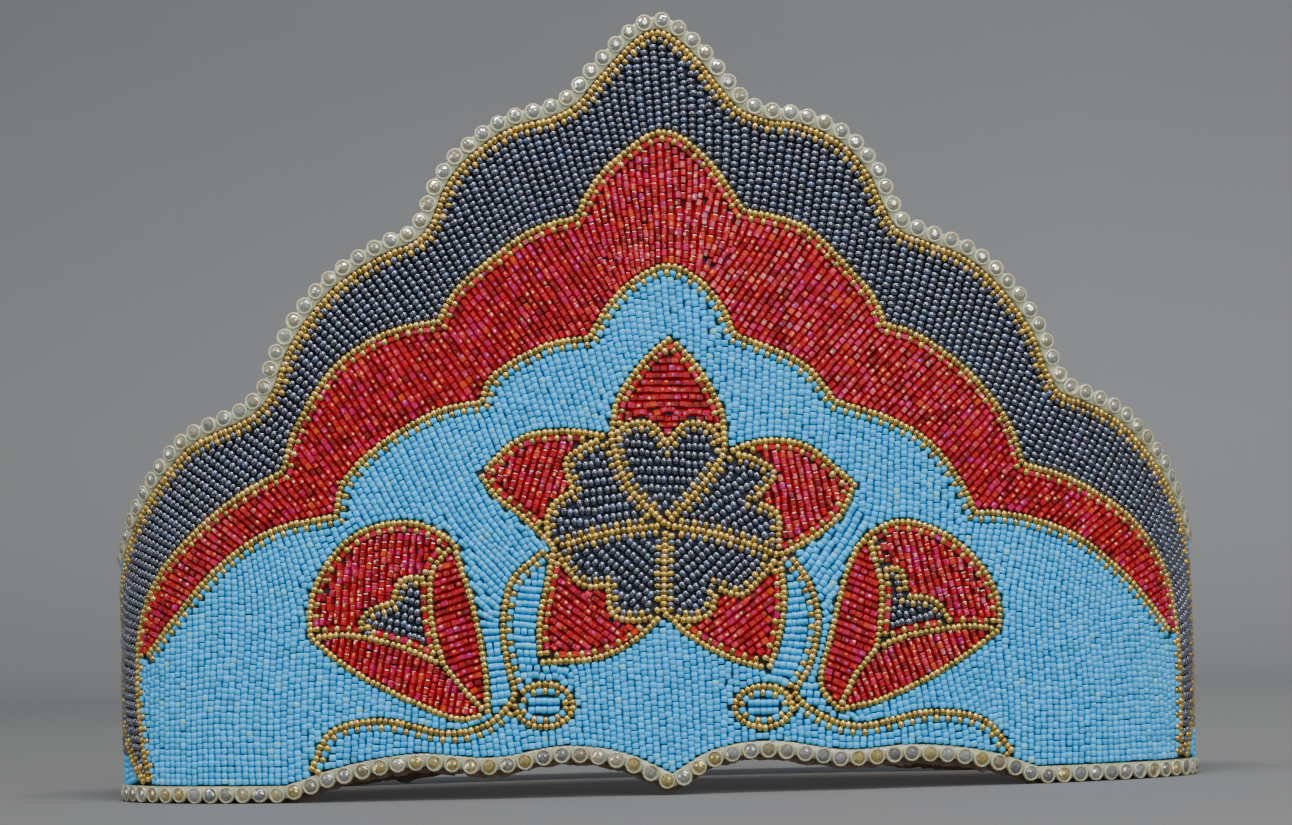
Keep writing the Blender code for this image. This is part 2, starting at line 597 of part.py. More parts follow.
def fields(outer, red, blue, hem, flower_rim, bud_rims, stems):
    """The navy, red and blue fields of the front, bounded by the gold lines."""
    away = GOLD_HALF + GAP
    navy_loop = beside(loop_of(outer, red[::-1]), away, True)
    between("navy_field", "navy_beads", navy_loop)
    first = int(np.argmin(np.linalg.norm(red - blue[0], axis=1)))
    last = int(np.argmin(np.linalg.norm(red - blue[-1], axis=1)))
    red_loop = loop_of(red[first:last + 1], blue[::-1])
    between("red_field", "red_beads", beside(red_loop, away, True))
    floor = clip_along(beside(hem, BAND_HALF + GAP - away), red[0, 0], red[-1, 0])
    blue_loop = beside(loop_of(red[:first + 1], blue, red[last:], floor[::-1]), away, True)
    flower_cut = cutter("flower_cutter", inset(flower_rim, -FINE_HALF - GAP))
    bud_cuts = [cutter(side + "_bud_cutter", inset(rim, -FINE_HALF - GAP))
                for side, rim in bud_rims.items()]
    left_line, left_loop = stems["left"]
    right_line, right_loop = stems["right"]
    middle = np.array([HEART_OF_FLOWER]) * MM
    drop = np.array([[0, -CUT_REACH]])
    between_stems = loop_of(left_line, left_line[-1:] + drop, right_line[-1:] + drop, right_line[::-1],
                            middle)
    wide_cut = cutter("stems_cutter", thin(beside(between_stems, -FINE_HALF - GAP, True), True))
    between("blue_field", "blue_beads", blue_loop, [flower_cut, *bud_cuts, wide_cut])
    low_hem = clip_along(beside(hem, BAND_HALF + GAP), left_line[-1, 0], right_line[-1, 0])
    apron = beside(between_stems, FINE_HALF + GAP, True)
    under_hem = loop_of(low_hem, low_hem[-1:] + 2 * drop, low_hem[:1] + 2 * drop)
    low_cut = cutter("hem_cutter", thin(under_hem, True))
    loop_cuts = [cutter(side + "_loop_cutter", inset(loop_of(loop), -GAP))
                 for side, loop in (("left", left_loop), ("right", right_loop))]
    between("blue_apron", "blue_beads", apron, [flower_cut, low_cut, *loop_cuts])


def back_fields(outer):
    """The low back: blue beads with one navy stripe, up to the gold line at each side."""
    away = GOLD_HALF + GAP
    limb = outer[:, 1] < BACK_TOP - 2 * BAND_HALF
    middle = len(outer) // 2
    right_limb = beside(outer[middle:][limb[middle:]], away)
    left_limb = beside(outer[:middle][limb[:middle]], away) + [RING_LENGTH, 0]
    low = BAND_HALF * 2 + GAP
    bottom = beside(back_hem(), BAND_HALF + GAP)
    top = back_line(BACK_TOP, BACK_DIP) - [0, BAND_HALF + GAP]
    for name, slot, floor, roof in (
            ("back_blue_low", "blue_beads", low, STRIPE_LOW),
            ("back_navy_stripe", "navy_beads", STRIPE_LOW + GAP, STRIPE_HIGH),
            ("back_blue_high", "blue_beads", STRIPE_HIGH + GAP, BACK_TOP - BAND_HALF - GAP)):
        right = clip_up(right_limb, floor, roof)
        left = clip_up(left_limb, floor, roof)
        under = turned_low(bottom, floor) if name != "back_blue_low" else bottom
        over = np.column_stack([top[:, 0], np.minimum(top[:, 1], roof)])
        between(name, slot, thin(loop_of(right[::-1], under, left, over[::-1]), True))


def clip_up(line, low, high):
    """The part of a side line between two heights, running upward, with its ends on them."""
    rising = line[np.argsort(line[:, 1])]
    inside = rising[(rising[:, 1] > low) & (rising[:, 1] < high)]
    ends = np.array([[np.interp(edge, rising[:, 1], rising[:, 0]), edge] for edge in (low, high)])
    return np.vstack([ends[:1], inside, ends[1:]])


def main():
    """Build every piece and hang them on one empty."""
    for old in list(bpy.data.objects):
        bpy.data.objects.remove(old)
    outer, red, blue, hem = path(OUTER_LINE), path(RED_LINE), path(BLUE_LINE), path(HEM_LINE)
    crown = beside(outer, BAND_FROM_GOLD)
    crown = crown[crown[:, 1] > BACK_TOP + GAP]
    top_line = np.vstack([[[-SIDE + GAP, BACK_TOP]], crown, [[SIDE - GAP, BACK_TOP]]])
    front_backing(beside(top_line, -LEATHER_UNDER_BAND), hem)
    back_backing()
    gold_line("outer_gold_line", OUTER_LINE)
    gold_line("red_gold_line", RED_LINE)
    gold_line("blue_gold_line", BLUE_LINE)
    flower_rim = flower()
    bud_rims = {side: bud(side) for side in BUDS}
    stems = {side: stem(side) for side in STEMS}
    fields(outer, red, blue, hem, flower_rim, bud_rims, stems)
    back_fields(outer)
    banding("top_banding_front", top_line, True)
    banding("hem_banding_front", clip_along(hem, -SIDE + GAP, SIDE - GAP), False)
    back_top = clip_along(back_line(BACK_TOP, BACK_DIP), SIDE + GAP, 3 * SIDE - GAP)
    banding("top_banding_back", back_top, False)
    banding("hem_banding_back", clip_along(back_hem(), SIDE + GAP, 3 * SIDE - GAP), False)
    root = bpy.data.objects.new("beaded_tiara", None)
    root.location.y = STONE_HEIGHT / 2
    collection("beaded_tiara").objects.link(root)
    for piece in collection("beaded_tiara").objects:
        if piece is not root:
            piece.parent = root


if __name__ == "__main__":
    main()
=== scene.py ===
"""Dresses the beaded tiara: single seed beads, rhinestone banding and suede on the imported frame.

Everything is laid out flat first, in millimetres: s is the distance round the ring from the front
centre, z the height above the table and n the depth outward from the face of the beads. bend()
then carries every point round the ring.
"""
import math

import bpy
import numpy as np
from bpy.props import FloatProperty, FloatVectorProperty, IntProperty, PointerProperty
from mathutils import Matrix, Vector


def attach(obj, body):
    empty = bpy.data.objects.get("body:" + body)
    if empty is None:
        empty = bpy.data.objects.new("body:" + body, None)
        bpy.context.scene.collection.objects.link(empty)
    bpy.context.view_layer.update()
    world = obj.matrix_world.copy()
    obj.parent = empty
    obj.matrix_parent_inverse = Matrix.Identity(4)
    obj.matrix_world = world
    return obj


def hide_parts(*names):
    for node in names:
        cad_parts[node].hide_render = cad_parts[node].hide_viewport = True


bl_info = {
    "name": "Beaded Tiara",
    "version": (1, 0, 0),
    "blender": (4, 5, 0),
    "location": "3D View > Sidebar > Tiara",
    "description": "Seed beads, rhinestone banding and suede for a beaded tiara",
    "category": "Add Mesh",
}

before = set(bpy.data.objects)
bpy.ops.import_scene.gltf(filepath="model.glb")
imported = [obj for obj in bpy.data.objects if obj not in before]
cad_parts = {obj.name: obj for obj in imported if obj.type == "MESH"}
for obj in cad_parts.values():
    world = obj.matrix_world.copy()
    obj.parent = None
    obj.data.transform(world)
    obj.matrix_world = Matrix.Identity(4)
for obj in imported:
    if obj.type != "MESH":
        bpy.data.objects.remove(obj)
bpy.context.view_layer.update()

MM = 0.001

# Ring in plan at the face of the beads, and the depths of the layers, from that face
HALF_WIDTH, HALF_DEPTH, SQUARENESS = 124, 44, 2.4
RING_SHIFT = 0.45
PLAN_SAMPLES = 20001
LEATHER_DEPTHS = (-3.5, -2.0)
# The dark sheet at these depths is painted shade: it darkens the gaps between the beads
SHADE_SHEET_DEPTHS = (-1.98, -1.3)
BEAD_FACE = 0.0
GOLD_FACE = 0.2

# Gold lines: rows from the line, step of an inner row, and how far a line runs on past its ends
ROW_APART = 0.74
INNER_ROW = 1.46
INNER_STEP = 1.08
LINE_REACH, BLUE_REACH = 1.5, 0.01
STEM_START, STEM_REACH = 1.8, 0.9
LOOP_STEP, LOOP_LEVEL = 1.34, 0.92

# Banding and leather along the edges, and the dark sheet of painted shade under the beads
BAND_HALF = 1.9
WEB_OUT = 0.85
WEB_FRONT, WEB_BACK, WEB_ROUND, WEB_STEP = -0.2, -1.6, 0.3, 0.9
BAND_FROM_GOLD = 3.5
LEATHER_BELOW_BAND = 0.5
LEATHER_UNDER_BAND = 0.4
SHADE_SHEET_ABOVE, SHADE_SHEET_BELOW = 2.4, 1.2
SEAM_GAP = 0.3

# How far the middle of a field's bead stays from the banding, and from gold in shares of its step
BLUE_OFF_BAND, NAVY_OFF_BAND, TOP_OFF_BAND = 0.72, 0.6, 0.9
ROW_SHARE = 0.38

# The back: its height and dip, the arch of its hem, and the navy stripe
BACK_TOP, BACK_DIP = 55, 3
BACK_ARCH_HALF, BACK_ARCH_RISE = 95, 5
STRIPE_LOW, STRIPE_HIGH = 10.5, 20

# Laying out. CELL, TRACE_STEP and GOLD_APART are in millimetres, HEADING_BLUR in square millimetres
CELL = 0.2
TRACE_STEP = 0.3
SEED_SHARE = 0.84
CROWD_SHARE = 0.6
EVEN_ROUNDS = 10
GOLD_APART = 1.08
COVER_SHARE, REACH_SHARE, GROUND_SHARE = 0.45, 1.25, 0.4
THREAD_DAMPING = 0.5
BREADTHS = (0.9, 1.14)
TRACE_LIMIT = 2000
HEADING_BLUR = 4
CURVE_SAMPLES = 14
MITRE_LIMIT = 0.25
FOLD_SHARE = 0.97
BACK_SAMPLES = 161

# Outlines in millimetres. Columns: distance from the front centre, height, 1 at a corner
OUTER_LINE = [
    (-124.8, 6, 0), (-131, 12, 0), (-138, 21, 0), (-141, 33, 0), (-139, 45, 0), (-131, 54.5, 0),
    (-120, 67, 0), (-108, 78, 0), (-92, 84.6, 0), (-87, 89.5, 0), (-82.7, 99.4, 0), (-73, 111.8, 0),
    (-61, 119.3, 0), (-54, 122, 0), (-50.3, 126, 0), (-46.5, 134.5, 0), (-42, 140, 0), (-33, 146.2, 0),
    (-23, 148.8, 0), (-17.2, 152, 0), (-12, 158, 0), (-0.5, 167.6, 0), (7, 162.3, 0), (12.6, 155, 0),
    (17, 150, 0), (23, 147.4, 0), (31, 146.2, 0), (39.5, 142.3, 0), (45.5, 135.5, 0), (48, 129.5, 0),
    (52, 122.8, 0), (58.4, 120, 0), (68, 116.2, 0), (76, 109.3, 0), (83, 99.6, 0), (86, 92, 0),
    (89.5, 86.2, 0), (96, 83.8, 0), (104, 80.4, 0), (112, 74.3, 0), (120, 66, 0), (127, 57, 0),
    (132, 48, 0), (134.5, 38, 0), (134.5, 26, 0), (131, 14, 0), (126.3, 6, 0),
]
RED_LINE = [
    (-122, 6.4, 0), (-124.3, 15, 0), (-125.6, 28, 0), (-124, 39.5, 0), (-117.6, 49.8, 0),
    (-105.5, 60.7, 0), (-94.4, 68, 0), (-85, 72.4, 1), (-82, 81.5, 0), (-73.5, 94.4, 0),
    (-65.5, 100.2, 0), (-57, 103.3, 0), (-49.2, 104.4, 1), (-46, 110.5, 0), (-35.3, 119.5, 0),
    (-27.9, 124.2, 0), (-18.5, 126.7, 1), (-14.5, 134, 0), (-9.7, 139.2, 0), (0.8, 145.4, 0),
    (9.6, 139.4, 0), (14, 133.4, 0), (17.5, 127.8, 1), (31.2, 123.8, 0), (40, 115.6, 0),
    (46, 108.4, 0), (48.8, 102, 1), (56, 99.6, 0), (67.4, 91.5, 0), (76.5, 80.4, 0),
    (80, 70.6, 1), (92.8, 66.6, 0), (108.9, 57.3, 0), (119.4, 44.5, 0), (123.2, 29.8, 0),
    (123.4, 16.8, 0), (122.6, 6.4, 0),
]
BLUE_LINE = [
    (-121.3, 32.4, 0), (-112, 41.4, 0), (-101, 51.7, 0), (-88, 59.3, 0), (-73, 62.2, 1),
    (-71.3, 69.5, 0), (-63, 77.6, 0), (-49.7, 84.7, 0), (-40.2, 86.4, 1), (-38, 91.6, 0),
    (-25.6, 98.6, 0), (-16.3, 100, 1), (-11.4, 107.6, 0), (-6.2, 112.6, 0), (1, 115.6, 0),
    (6.8, 112.9, 0), (11.6, 107.6, 0), (15, 100.2, 1), (30.3, 93.3, 0), (37.2, 85, 1),
    (49.2, 81, 0), (57.7, 76.1, 0), (65.3, 66.6, 0), (68.4, 59.8, 1), (76.9, 59.3, 0),
    (92.4, 54.5, 0), (106.5, 44.7, 0), (119.6, 32.6, 0),
]
LINES = {"outer": (OUTER_LINE, LINE_REACH), "red": (RED_LINE, LINE_REACH), "blue": (BLUE_LINE, BLUE_REACH)}
HEM_LINE = [
    (-142.8, 1.9, 0), (-86, 1.9, 1), (-73, 5.9, 0), (-57, 8.4, 0), (-40, 7.2, 0), (-24, 9.4, 0),
    (-12, 7.8, 0), (-0.5, 2.6, 1), (9, 7.8, 0), (21, 9.4, 0), (38, 7, 0), (54, 7.7, 0),
    (70, 5.7, 0), (82, 1.9, 1), (142.8, 1.9, 0),
]
HEART_OF_FLOWER = (-0.8, 59.2)
JOINS = {
    "upper_left": (-12.4, 78.7), "upper_right": (12.6, 74.6), "right": (24.2, 52),
    "bottom": (-1.6, 40), "left": (-25.4, 54.8),
}
SPOKE_BENDS = {
    "upper_left": (-9, 68.3), "upper_right": (7.4, 67.6), "right": (11.5, 56.6),
    "bottom": (-1.3, 50), "left": (-13.5, 57.7),
}
PETALS = {
    "petal_top": ("upper_left", [(-10.6, 87, 0), (-4.4, 95.6, 0), (1.2, 100.4, 1), (7.4, 93.3, 0),
                                 (12.3, 83, 0)], "upper_right"),
    "petal_right": ("upper_right", [(20, 77, 0), (30, 76.2, 0), (41.4, 67.2, 1), (38, 60.6, 0),
                                    (31, 55.2, 0)], "right"),
    "petal_lower_right": ("right", [(25, 43, 0), (23.8, 34.5, 0), (21.3, 27, 1), (12.5, 29.8, 0),
                                    (3.4, 35.2, 0)], "bottom"),
    "petal_lower_left": ("bottom", [(-7.4, 34.6, 0), (-15.6, 30.6, 0), (-28.9, 29.6, 1),
                                    (-29, 38, 0), (-27.2, 46.8, 0)], "left"),
    "petal_left": ("left", [(-32, 61.4, 0), (-38.3, 66.6, 0), (-41.3, 71.2, 1), (-32.5, 78.8, 0),
                            (-22, 80.2, 0)], "upper_left"),
}
HEART_EDGES = {
    "petal_top": [(-8.2, 81.5, 0), (-3.6, 81.5, 0), (0, 77, 1), (4.4, 81.4, 0), (9.6, 80.4, 0)],
    "petal_right": [(18, 73.8, 0), (23.6, 70, 0), (18.8, 64, 1), (24, 61, 0), (24.2, 55.6, 0)],
    "petal_lower_right": [(18.6, 45.6, 0), (15.3, 43.3, 0), (10.4, 45, 1), (8.3, 39.4, 0),
                          (3.6, 38.2, 0)],
    "petal_lower_left": [(-6.4, 38.5, 0), (-12.8, 39.6, 0), (-13.8, 46.2, 1), (-19, 46.2, 0),
                         (-22.4, 49.6, 0)],
    "petal_left": [(-27, 59.4, 0), (-25.6, 64, 0), (-21, 67, 1), (-22.4, 73.6, 0), (-17.6, 77.2, 0)],
}
# Blue beads between a bud and its stem, too few for a row. Columns: along, height, angle, breadth
BLUE_CORNERS = [(-45.9, 16.3, 0.3, 0.8), (-44.5, 16.7, 0.3, 0.8), (-43.2, 17.1, 0.36, 0.85),
                (-41.9, 17.6, 0.4, 0.9), (-40.6, 18.2, 0.5, 0.9)]
BUDS = {
    "left": {
        "tip": (-40.8, 18.6), "mouth": (-47.2, 56), "corner": (-79.9, 36), "fork": (-50.2, 29.4),
        "side_rim": [(-41.3, 29, 0), (-44, 44, 0), (-46.6, 52.4, 0)],
        "top_rim": [(-54, 60.2, 0), (-62.5, 60.8, 0), (-71, 57.4, 0), (-77.6, 49.6, 0), (-80, 42, 0)],
        "low_rim": [(-70.5, 28.7, 0), (-55, 20.6, 0), (-46.6, 17.6, 0)],
        "vein": [(-52, 51, 0), (-53, 44, 0), (-52.2, 36.5, 0)],
        "stalk": [(-46.4, 24.6, 0)],
        "fold": [(-72.3, 36.6, 0), (-60.4, 34, 0)],
        "heart": ((-68.6, 36.4), [(-67.6, 41, 0), (-61.2, 43.6, 1), (-59.2, 48.4, 0)], (-52.9, 48.6)),
        "threads": {"top_lobe": 84, "side_lobe": 16, "low_lobe": 78, "heart": 161},
        "inward": 1,
    },
    "right": {
        "tip": (36.6, 17.6), "mouth": (44.4, 56.2), "corner": (73.8, 34.4), "fork": (45.4, 30.9),
        "side_rim": [(32.8, 23, 0), (35.4, 34.4, 0), (38.6, 46.2, 0), (41.2, 52.4, 0)],
        "top_rim": [(51, 58.8, 0), (61, 56.2, 0), (69.6, 49, 0), (73.8, 40.6, 0)],
        "low_rim": [(62.7, 27.2, 0), (47, 20, 0)],
        "vein": [(45.4, 51, 0), (46.9, 45, 0), (46.6, 38.4, 0)],
        "stalk": [(40.6, 25.4, 0)],
        "fold": [(66.6, 35.4, 0), (59, 34.6, 0), (51.8, 33.4, 0)],
        "heart": ((63.2, 35.1), [(59, 41, 0), (52.6, 42.4, 1), (51.2, 48.2, 0)], (46.2, 48)),
        "threads": {"top_lobe": 104, "side_lobe": 157, "low_lobe": 109, "heart": 14},
        "inward": -1,
    },
}
STEMS = {
    "left": {
        "path": [(-28.4, 52.6, 0), (-34, 47.6, 0), (-36.4, 37.9, 0), (-35.2, 28, 0), (-34.2, 22.4, 0),
                 (-39.8, 16.2, 0), (-49, 13.9, 0), (-64.7, 16.9, 0), (-75.4, 14.6, 0), (-79.4, 7.4, 0)],
        "loop": (-28.4, 20.2, 5.6, 4),
        "outward": -1,
    },
    "right": {
        "path": [(26.6, 50.6, 0), (30, 45.5, 0), (31.8, 37.4, 0), (29.6, 27.8, 0), (26.3, 21.5, 0),
                 (31.2, 16.6, 0), (40, 13.3, 0), (58, 15.9, 0), (69.6, 13.6, 0), (75, 7.4, 0)],
        "loop": (19.8, 18.8, 5.6, 3.8),
        "outward": 1,
    },
}

# Which way the threads of each field run. Columns: place along and up in millimetres, angle in degrees
THREADS = {
    "navy": [(0, 157, 93), (-12, 143, 103), (12, 146, 88), (-24, 138, 108), (24, 136, 80), (-45, 122, 118),
             (45, 121, 77), (-60, 111, 126), (65, 105, 71), (-76, 97, 138), (84, 82, 62), (-92, 79, 144),
             (102, 70, 59), (-110, 68, 147), (116, 59, 49), (-125, 50, 163), (127, 42, 24), (-132, 33, 173),
             (130, 26, 10), (-131, 14, 177), (128, 12, 6)],
    "red": [(0, 136, 93), (0, 122, 90), (-9, 128, 100), (9, 128, 80), (-19, 116, 124), (17, 115, 51),
            (-40, 104, 126), (38, 103, 47), (-62, 88, 122), (58, 86, 44), (-80, 71, 126), (76, 68, 46),
            (-94, 63, 139), (90, 61, 41), (-106, 54, 152), (103, 52, 31), (-117, 42, 158), (114, 42, 20),
            (-123, 24, 168), (121, 26, 12)],
    "blue": [(0, 108, 95), (-14, 95, 104), (13, 94, 86), (-27, 88, 107), (25, 88, 86), (-42, 78, 111),
             (38, 79, 84), (-55, 72, 114), (52, 70, 88), (-66, 64, 118), (60, 64, 88), (-78, 55, 112),
             (72, 54, 78), (-90, 52, 100), (84, 50, 77), (-100, 44, 88), (97, 44, 80), (-112, 30, 88),
             (110, 30, 94), (-98, 27, 83), (98, 27, 96), (-88, 30, 85), (86, 28, 94), (-110, 10, 90),
             (110, 10, 92), (-96, 10, 93), (94, 10, 88), (-83, 14, 89), (81, 14, 89), (-66, 23, 83),
             (64, 20, 104), (-44, 52, 134), (41, 50, 50), (-39, 28, 6), (36, 26, 174), (-35, 84, 107),
             (33, 82, 84), (-56, 17, 84), (52, 15, 96)],
    "apron": [(0, 30, 94), (0, 18, 92), (-12, 22, 92), (12, 22, 90), (-21, 15, 94), (21, 12, 90),
              (-32, 44, 174), (-31, 32, 176), (28, 42, 6), (27, 30, 172), (-60, 11, 84), (58, 11, 96),
              (-38, 11, 98), (38, 11, 88)],
    "back": [(285, 30, 90)],
}

# Petals: which way the threads run in the red tip and in the navy heart
PETAL_THREADS = {
    "petal_top": (179, 176), "petal_right": (101, 32), "petal_lower_right": (36, 40),
    "petal_lower_left": (142, 138), "petal_left": (72, 8),
}

# Rings of a bead or a stitch from end to end. Columns: place along it, share of its radius
ROUND_BEAD = [(-0.5, 0.56), (-0.25, 1.0), (0.25, 1.0), (0.5, 0.56)]
SQUARE_BEAD = [(-0.5, 0.84), (-0.38, 1.0), (0.38, 1.0), (0.5, 0.84)]
BARREL_BEAD = [(-0.5, 0.74), (0.0, 1.04), (0.5, 0.74)]
STITCH = [(-0.5, 0.4), (-0.36, 1.0), (0.36, 1.0), (0.5, 0.4)]

# Rings of a setting and of a stone. Columns: height out of the banding, radius, turn in half steps
SETTING = [(-1.2, 1.7, 0), (-0.4, 1.95, 0), (0.28, 1.8, 0), (0.36, 1.54, 0), (0.0, 1.36, 0)]
STONE = [(-0.1, 1.28, 0), (0.12, 1.42, 0), (0.46, 1.02, 1), (0.7, 0.52, 0)]

# How much of its step a bead takes up, along the thread and across it
FILLING = {"gold": (1.04, 1.13), "navy": (1.0, 1.03), "red": (1.0, 1.12), "blue": (1.0, 1.09)}

# Sides of the beads of a kind
SIDES = {"gold": 7, "navy": 8, "red": 6, "blue": 6}
SETTING_SIDES, STONE_SIDES, STITCH_SIDES = 12, 8, 6

# Walls of leather and of the painted-shade sheet: seed, columns and rows of points, and how their faces and
# edges vary
BACKING_SEED = 3
FRONT_COLUMNS, BACK_COLUMNS = 321, 281
SUEDE_ROWS, SHADE_SHEET_ROWS, ROW_CROWDING = 11, 5, 0.8
EDGE_ROUGH, EDGE_FINE, ROUGH_FROM = 0.35, 0.12, 0.3
BELLY = 0.06
LOW_ROUNDING, HIGH_ROUNDING = (0.3, 0.5), (0.25, 0.4)

# Stitches: seed, length, width and height, how deep they lie, where their rows run and how a seam's lean
STITCH_SEED = 5
BAND_STITCH, SEAM_STITCH = (2.6, 0.24, 0.2), (4.4, 0.26, 0.24)
BAND_STITCH_SINK, SEAM_STITCH_SINK = 0.02, 0.05
TOP_STITCH_DROP, BACK_STITCH_DROP, HEM_STITCH_RISE, HEM_STITCH_END = 1.6, 1.4, 0.4, 1
SEAM_STITCH_STEP, SEAM_STITCH_EDGE = 3.2, 4.0
SEAM_LEANS = (0.35, 2.79)

# How far copies differ: in place in millimetres, in angle in radians, and in size
BEAD_WOBBLE = (0.05, 0.06, 0.035)
CUP_WOBBLE = (0.06, 0.03, 0.02)
STONE_WOBBLE = (0.04, 0.14, 0.03)
STITCH_WOBBLE = (0.05, 0.06, 0.05)
SEAM_WOBBLE = (0.05, 0.05, 0.05)

# The camera: which side it looks from, how it is turned, and how wide it sees
CAMERA_FROM = math.radians(3.4)
CAMERA_PAN = math.radians(0.15)
CAMERA_TILT = math.radians(3.33)
CAMERA_ROLL = math.radians(-1.35)
CAMERA_VIEW = math.radians(21.27)

# Backdrop in metres, the lights' place, aim, size, power and colour, and the light all round
PAPER_REACH, PAPER_BEND, PAPER_TOP = 2.4, 0.4, 2.2
BEND_STEPS, PAPER_COLUMNS = 17, 9
LIGHTS = {
    "overhead_softbox": ((0, -0.45, 0.95), (0, 0, 0.06), (0.8, 0.14), 10, (1, 0.985, 0.96)),
    "front_softbox": ((0.6, -1.5, 0.8), (0.1, 0, 0.08), (1.0, 0.8), 12, (0.97, 0.98, 1)),
    "left_softbox": ((-1.3, -0.7, 0.6), (0, 0, 0.08), (0.5, 0.9), 4, (1, 1, 1)),
}
AIR_COLOUR, AIR_STRENGTH = (0.9, 0.95, 1, 1), 0.52


class TiaraBeads(bpy.types.PropertyGroup):
    """Sizes of the seed beads."""

    gold_width: FloatProperty(name="Gold bead width", description="Diameter of the gold beads",
                              default=1.66 * MM, unit="LENGTH", precision=5)
    gold_pitch: FloatProperty(name="Gold bead step", description="Distance from gold bead to gold bead",
                              default=1.28 * MM, unit="LENGTH", precision=5)
    navy_width: FloatProperty(name="Navy row step", description="Distance between rows of navy beads",
                              default=1.9 * MM, unit="LENGTH", precision=5)
    navy_pitch: FloatProperty(name="Navy bead step", description="Distance along the thread of navy beads",
                              default=1.4 * MM, unit="LENGTH", precision=5)
    red_width: FloatProperty(name="Red row step", description="Distance between rows of red beads",
                             default=1.56 * MM, unit="LENGTH", precision=5)
    red_pitch: FloatProperty(name="Red bead step", description="Distance along the thread of red beads",
                             default=1.6 * MM, unit="LENGTH", precision=5)
    blue_width: FloatProperty(name="Blue row step", description="Distance between rows of blue beads",
                              default=1.55 * MM, unit="LENGTH", precision=5)
    blue_pitch: FloatProperty(name="Blue bead step", description="Distance along the thread of blue beads",
                              default=1.33 * MM, unit="LENGTH", precision=5)
    unevenness: FloatProperty(name="Unevenness", description="How much beads differ in place and size",
                              default=1.0, min=0, max=3)
    seed: IntProperty(name="Seed", description="Seed of the beads' differences", default=11)


class TiaraFinish(bpy.types.PropertyGroup):
    """Colours of the beads, the banding and the suede."""

    blue: FloatVectorProperty(name="Blue", description="Opaque turquoise blue of the field", size=3,
                              subtype="COLOR", default=(0.05, 0.47, 0.88), min=0, max=1)
    navy: FloatVectorProperty(name="Navy", description="Gunmetal navy of the outer band", size=3,
                              subtype="COLOR", default=(0.027, 0.036, 0.075), min=0, max=1)
    red: FloatVectorProperty(name="Red", description="Deep red of the middle band", size=3,
                             subtype="COLOR", default=(0.45, 0.002, 0.008), min=0, max=1)
    gold: FloatVectorProperty(name="Gold", description="Gold of the outlines", size=3,
                              subtype="COLOR", default=(0.6, 0.41, 0.09), min=0, max=1)
    milk: FloatVectorProperty(name="Banding", description="Milky plastic of the banding", size=3,
                              subtype="COLOR", default=(0.74, 0.73, 0.53), min=0, max=1)
    suede: FloatVectorProperty(name="Suede", description="Brown suede of the backing", size=3,
                               subtype="COLOR", default=(0.15, 0.095, 0.055), min=0, max=1)


class TiaraBanding(bpy.types.PropertyGroup):
    """Sizes of the rhinestone banding."""

    stone_step: FloatProperty(name="Stone step", description="Distance from stone to stone",
                              default=4.05 * MM, unit="LENGTH", precision=5)
    web_half: FloatProperty(name="Web half width", description="Half the width of the flat strip",
                            default=1.95 * MM, unit="LENGTH", precision=5)


class TiaraStage(bpy.types.PropertyGroup):
    """Camera, backdrop and lights."""

    camera_distance: FloatProperty(name="Camera distance", description="From the ring's centre",
                                   default=0.80, unit="LENGTH")
    camera_height: FloatProperty(name="Camera height", description="Above the table",
                                 default=0.040, unit="LENGTH")
    wall_distance: FloatProperty(name="Backdrop distance", description="Behind the ring's centre",
                                 default=1.35, unit="LENGTH")
    grey: FloatProperty(name="Backdrop grey", description="How pale the floor and the backdrop are",
                        default=0.27, min=0, max=1)


def plan_table():
    """Distance round the ring with the plan point and outward normal at each.

    The plan is a superellipse: x and y are the half sizes times cos and sin of a turning angle, each
    raised to the power 2 over the squareness with its sign kept. The normal is the gradient of
    the superellipse's equation, made one unit long.
    """
    turn = np.linspace(-1.5 * math.pi, 0.5 * math.pi, PLAN_SAMPLES)
    cos, sin = np.cos(turn), np.sin(turn)
    across, deep = np.abs(cos) ** (2 / SQUARENESS), np.abs(sin) ** (2 / SQUARENESS)
    x, y = HALF_WIDTH * np.sign(cos) * across, HALF_DEPTH * np.sign(sin) * deep
    normal = np.stack([np.sign(cos) * across ** (SQUARENESS - 1) / HALF_WIDTH,
                       np.sign(sin) * deep ** (SQUARENESS - 1) / HALF_DEPTH])
    normal /= np.linalg.norm(normal, axis=0)
    along = np.concatenate([[0.0], np.cumsum(np.hypot(np.diff(x), np.diff(y)))])
    return along - along[-1] / 2, x, y, normal[0], normal[1]


PLAN = plan_table()
BACK = float(PLAN[0][-1])
RING = 2 * BACK
SIDE = BACK / 2


def around(s):
    """Plan point and outward normal at distances round the ring, read off the plan table."""
    s = (np.asarray(s, dtype=float) + BACK) % RING - BACK
    return [np.interp(s, PLAN[0], column) for column in PLAN[1:]]


def bend(s, z, n):
    """Flat to ring, in metres: the plan point at s, plus n along its outward normal, at height z."""
    x, y, nx, ny = around(s)
    return np.stack(np.broadcast_arrays(x + n * nx, y + n * ny + RING_SHIFT, z), axis=-1) * MM


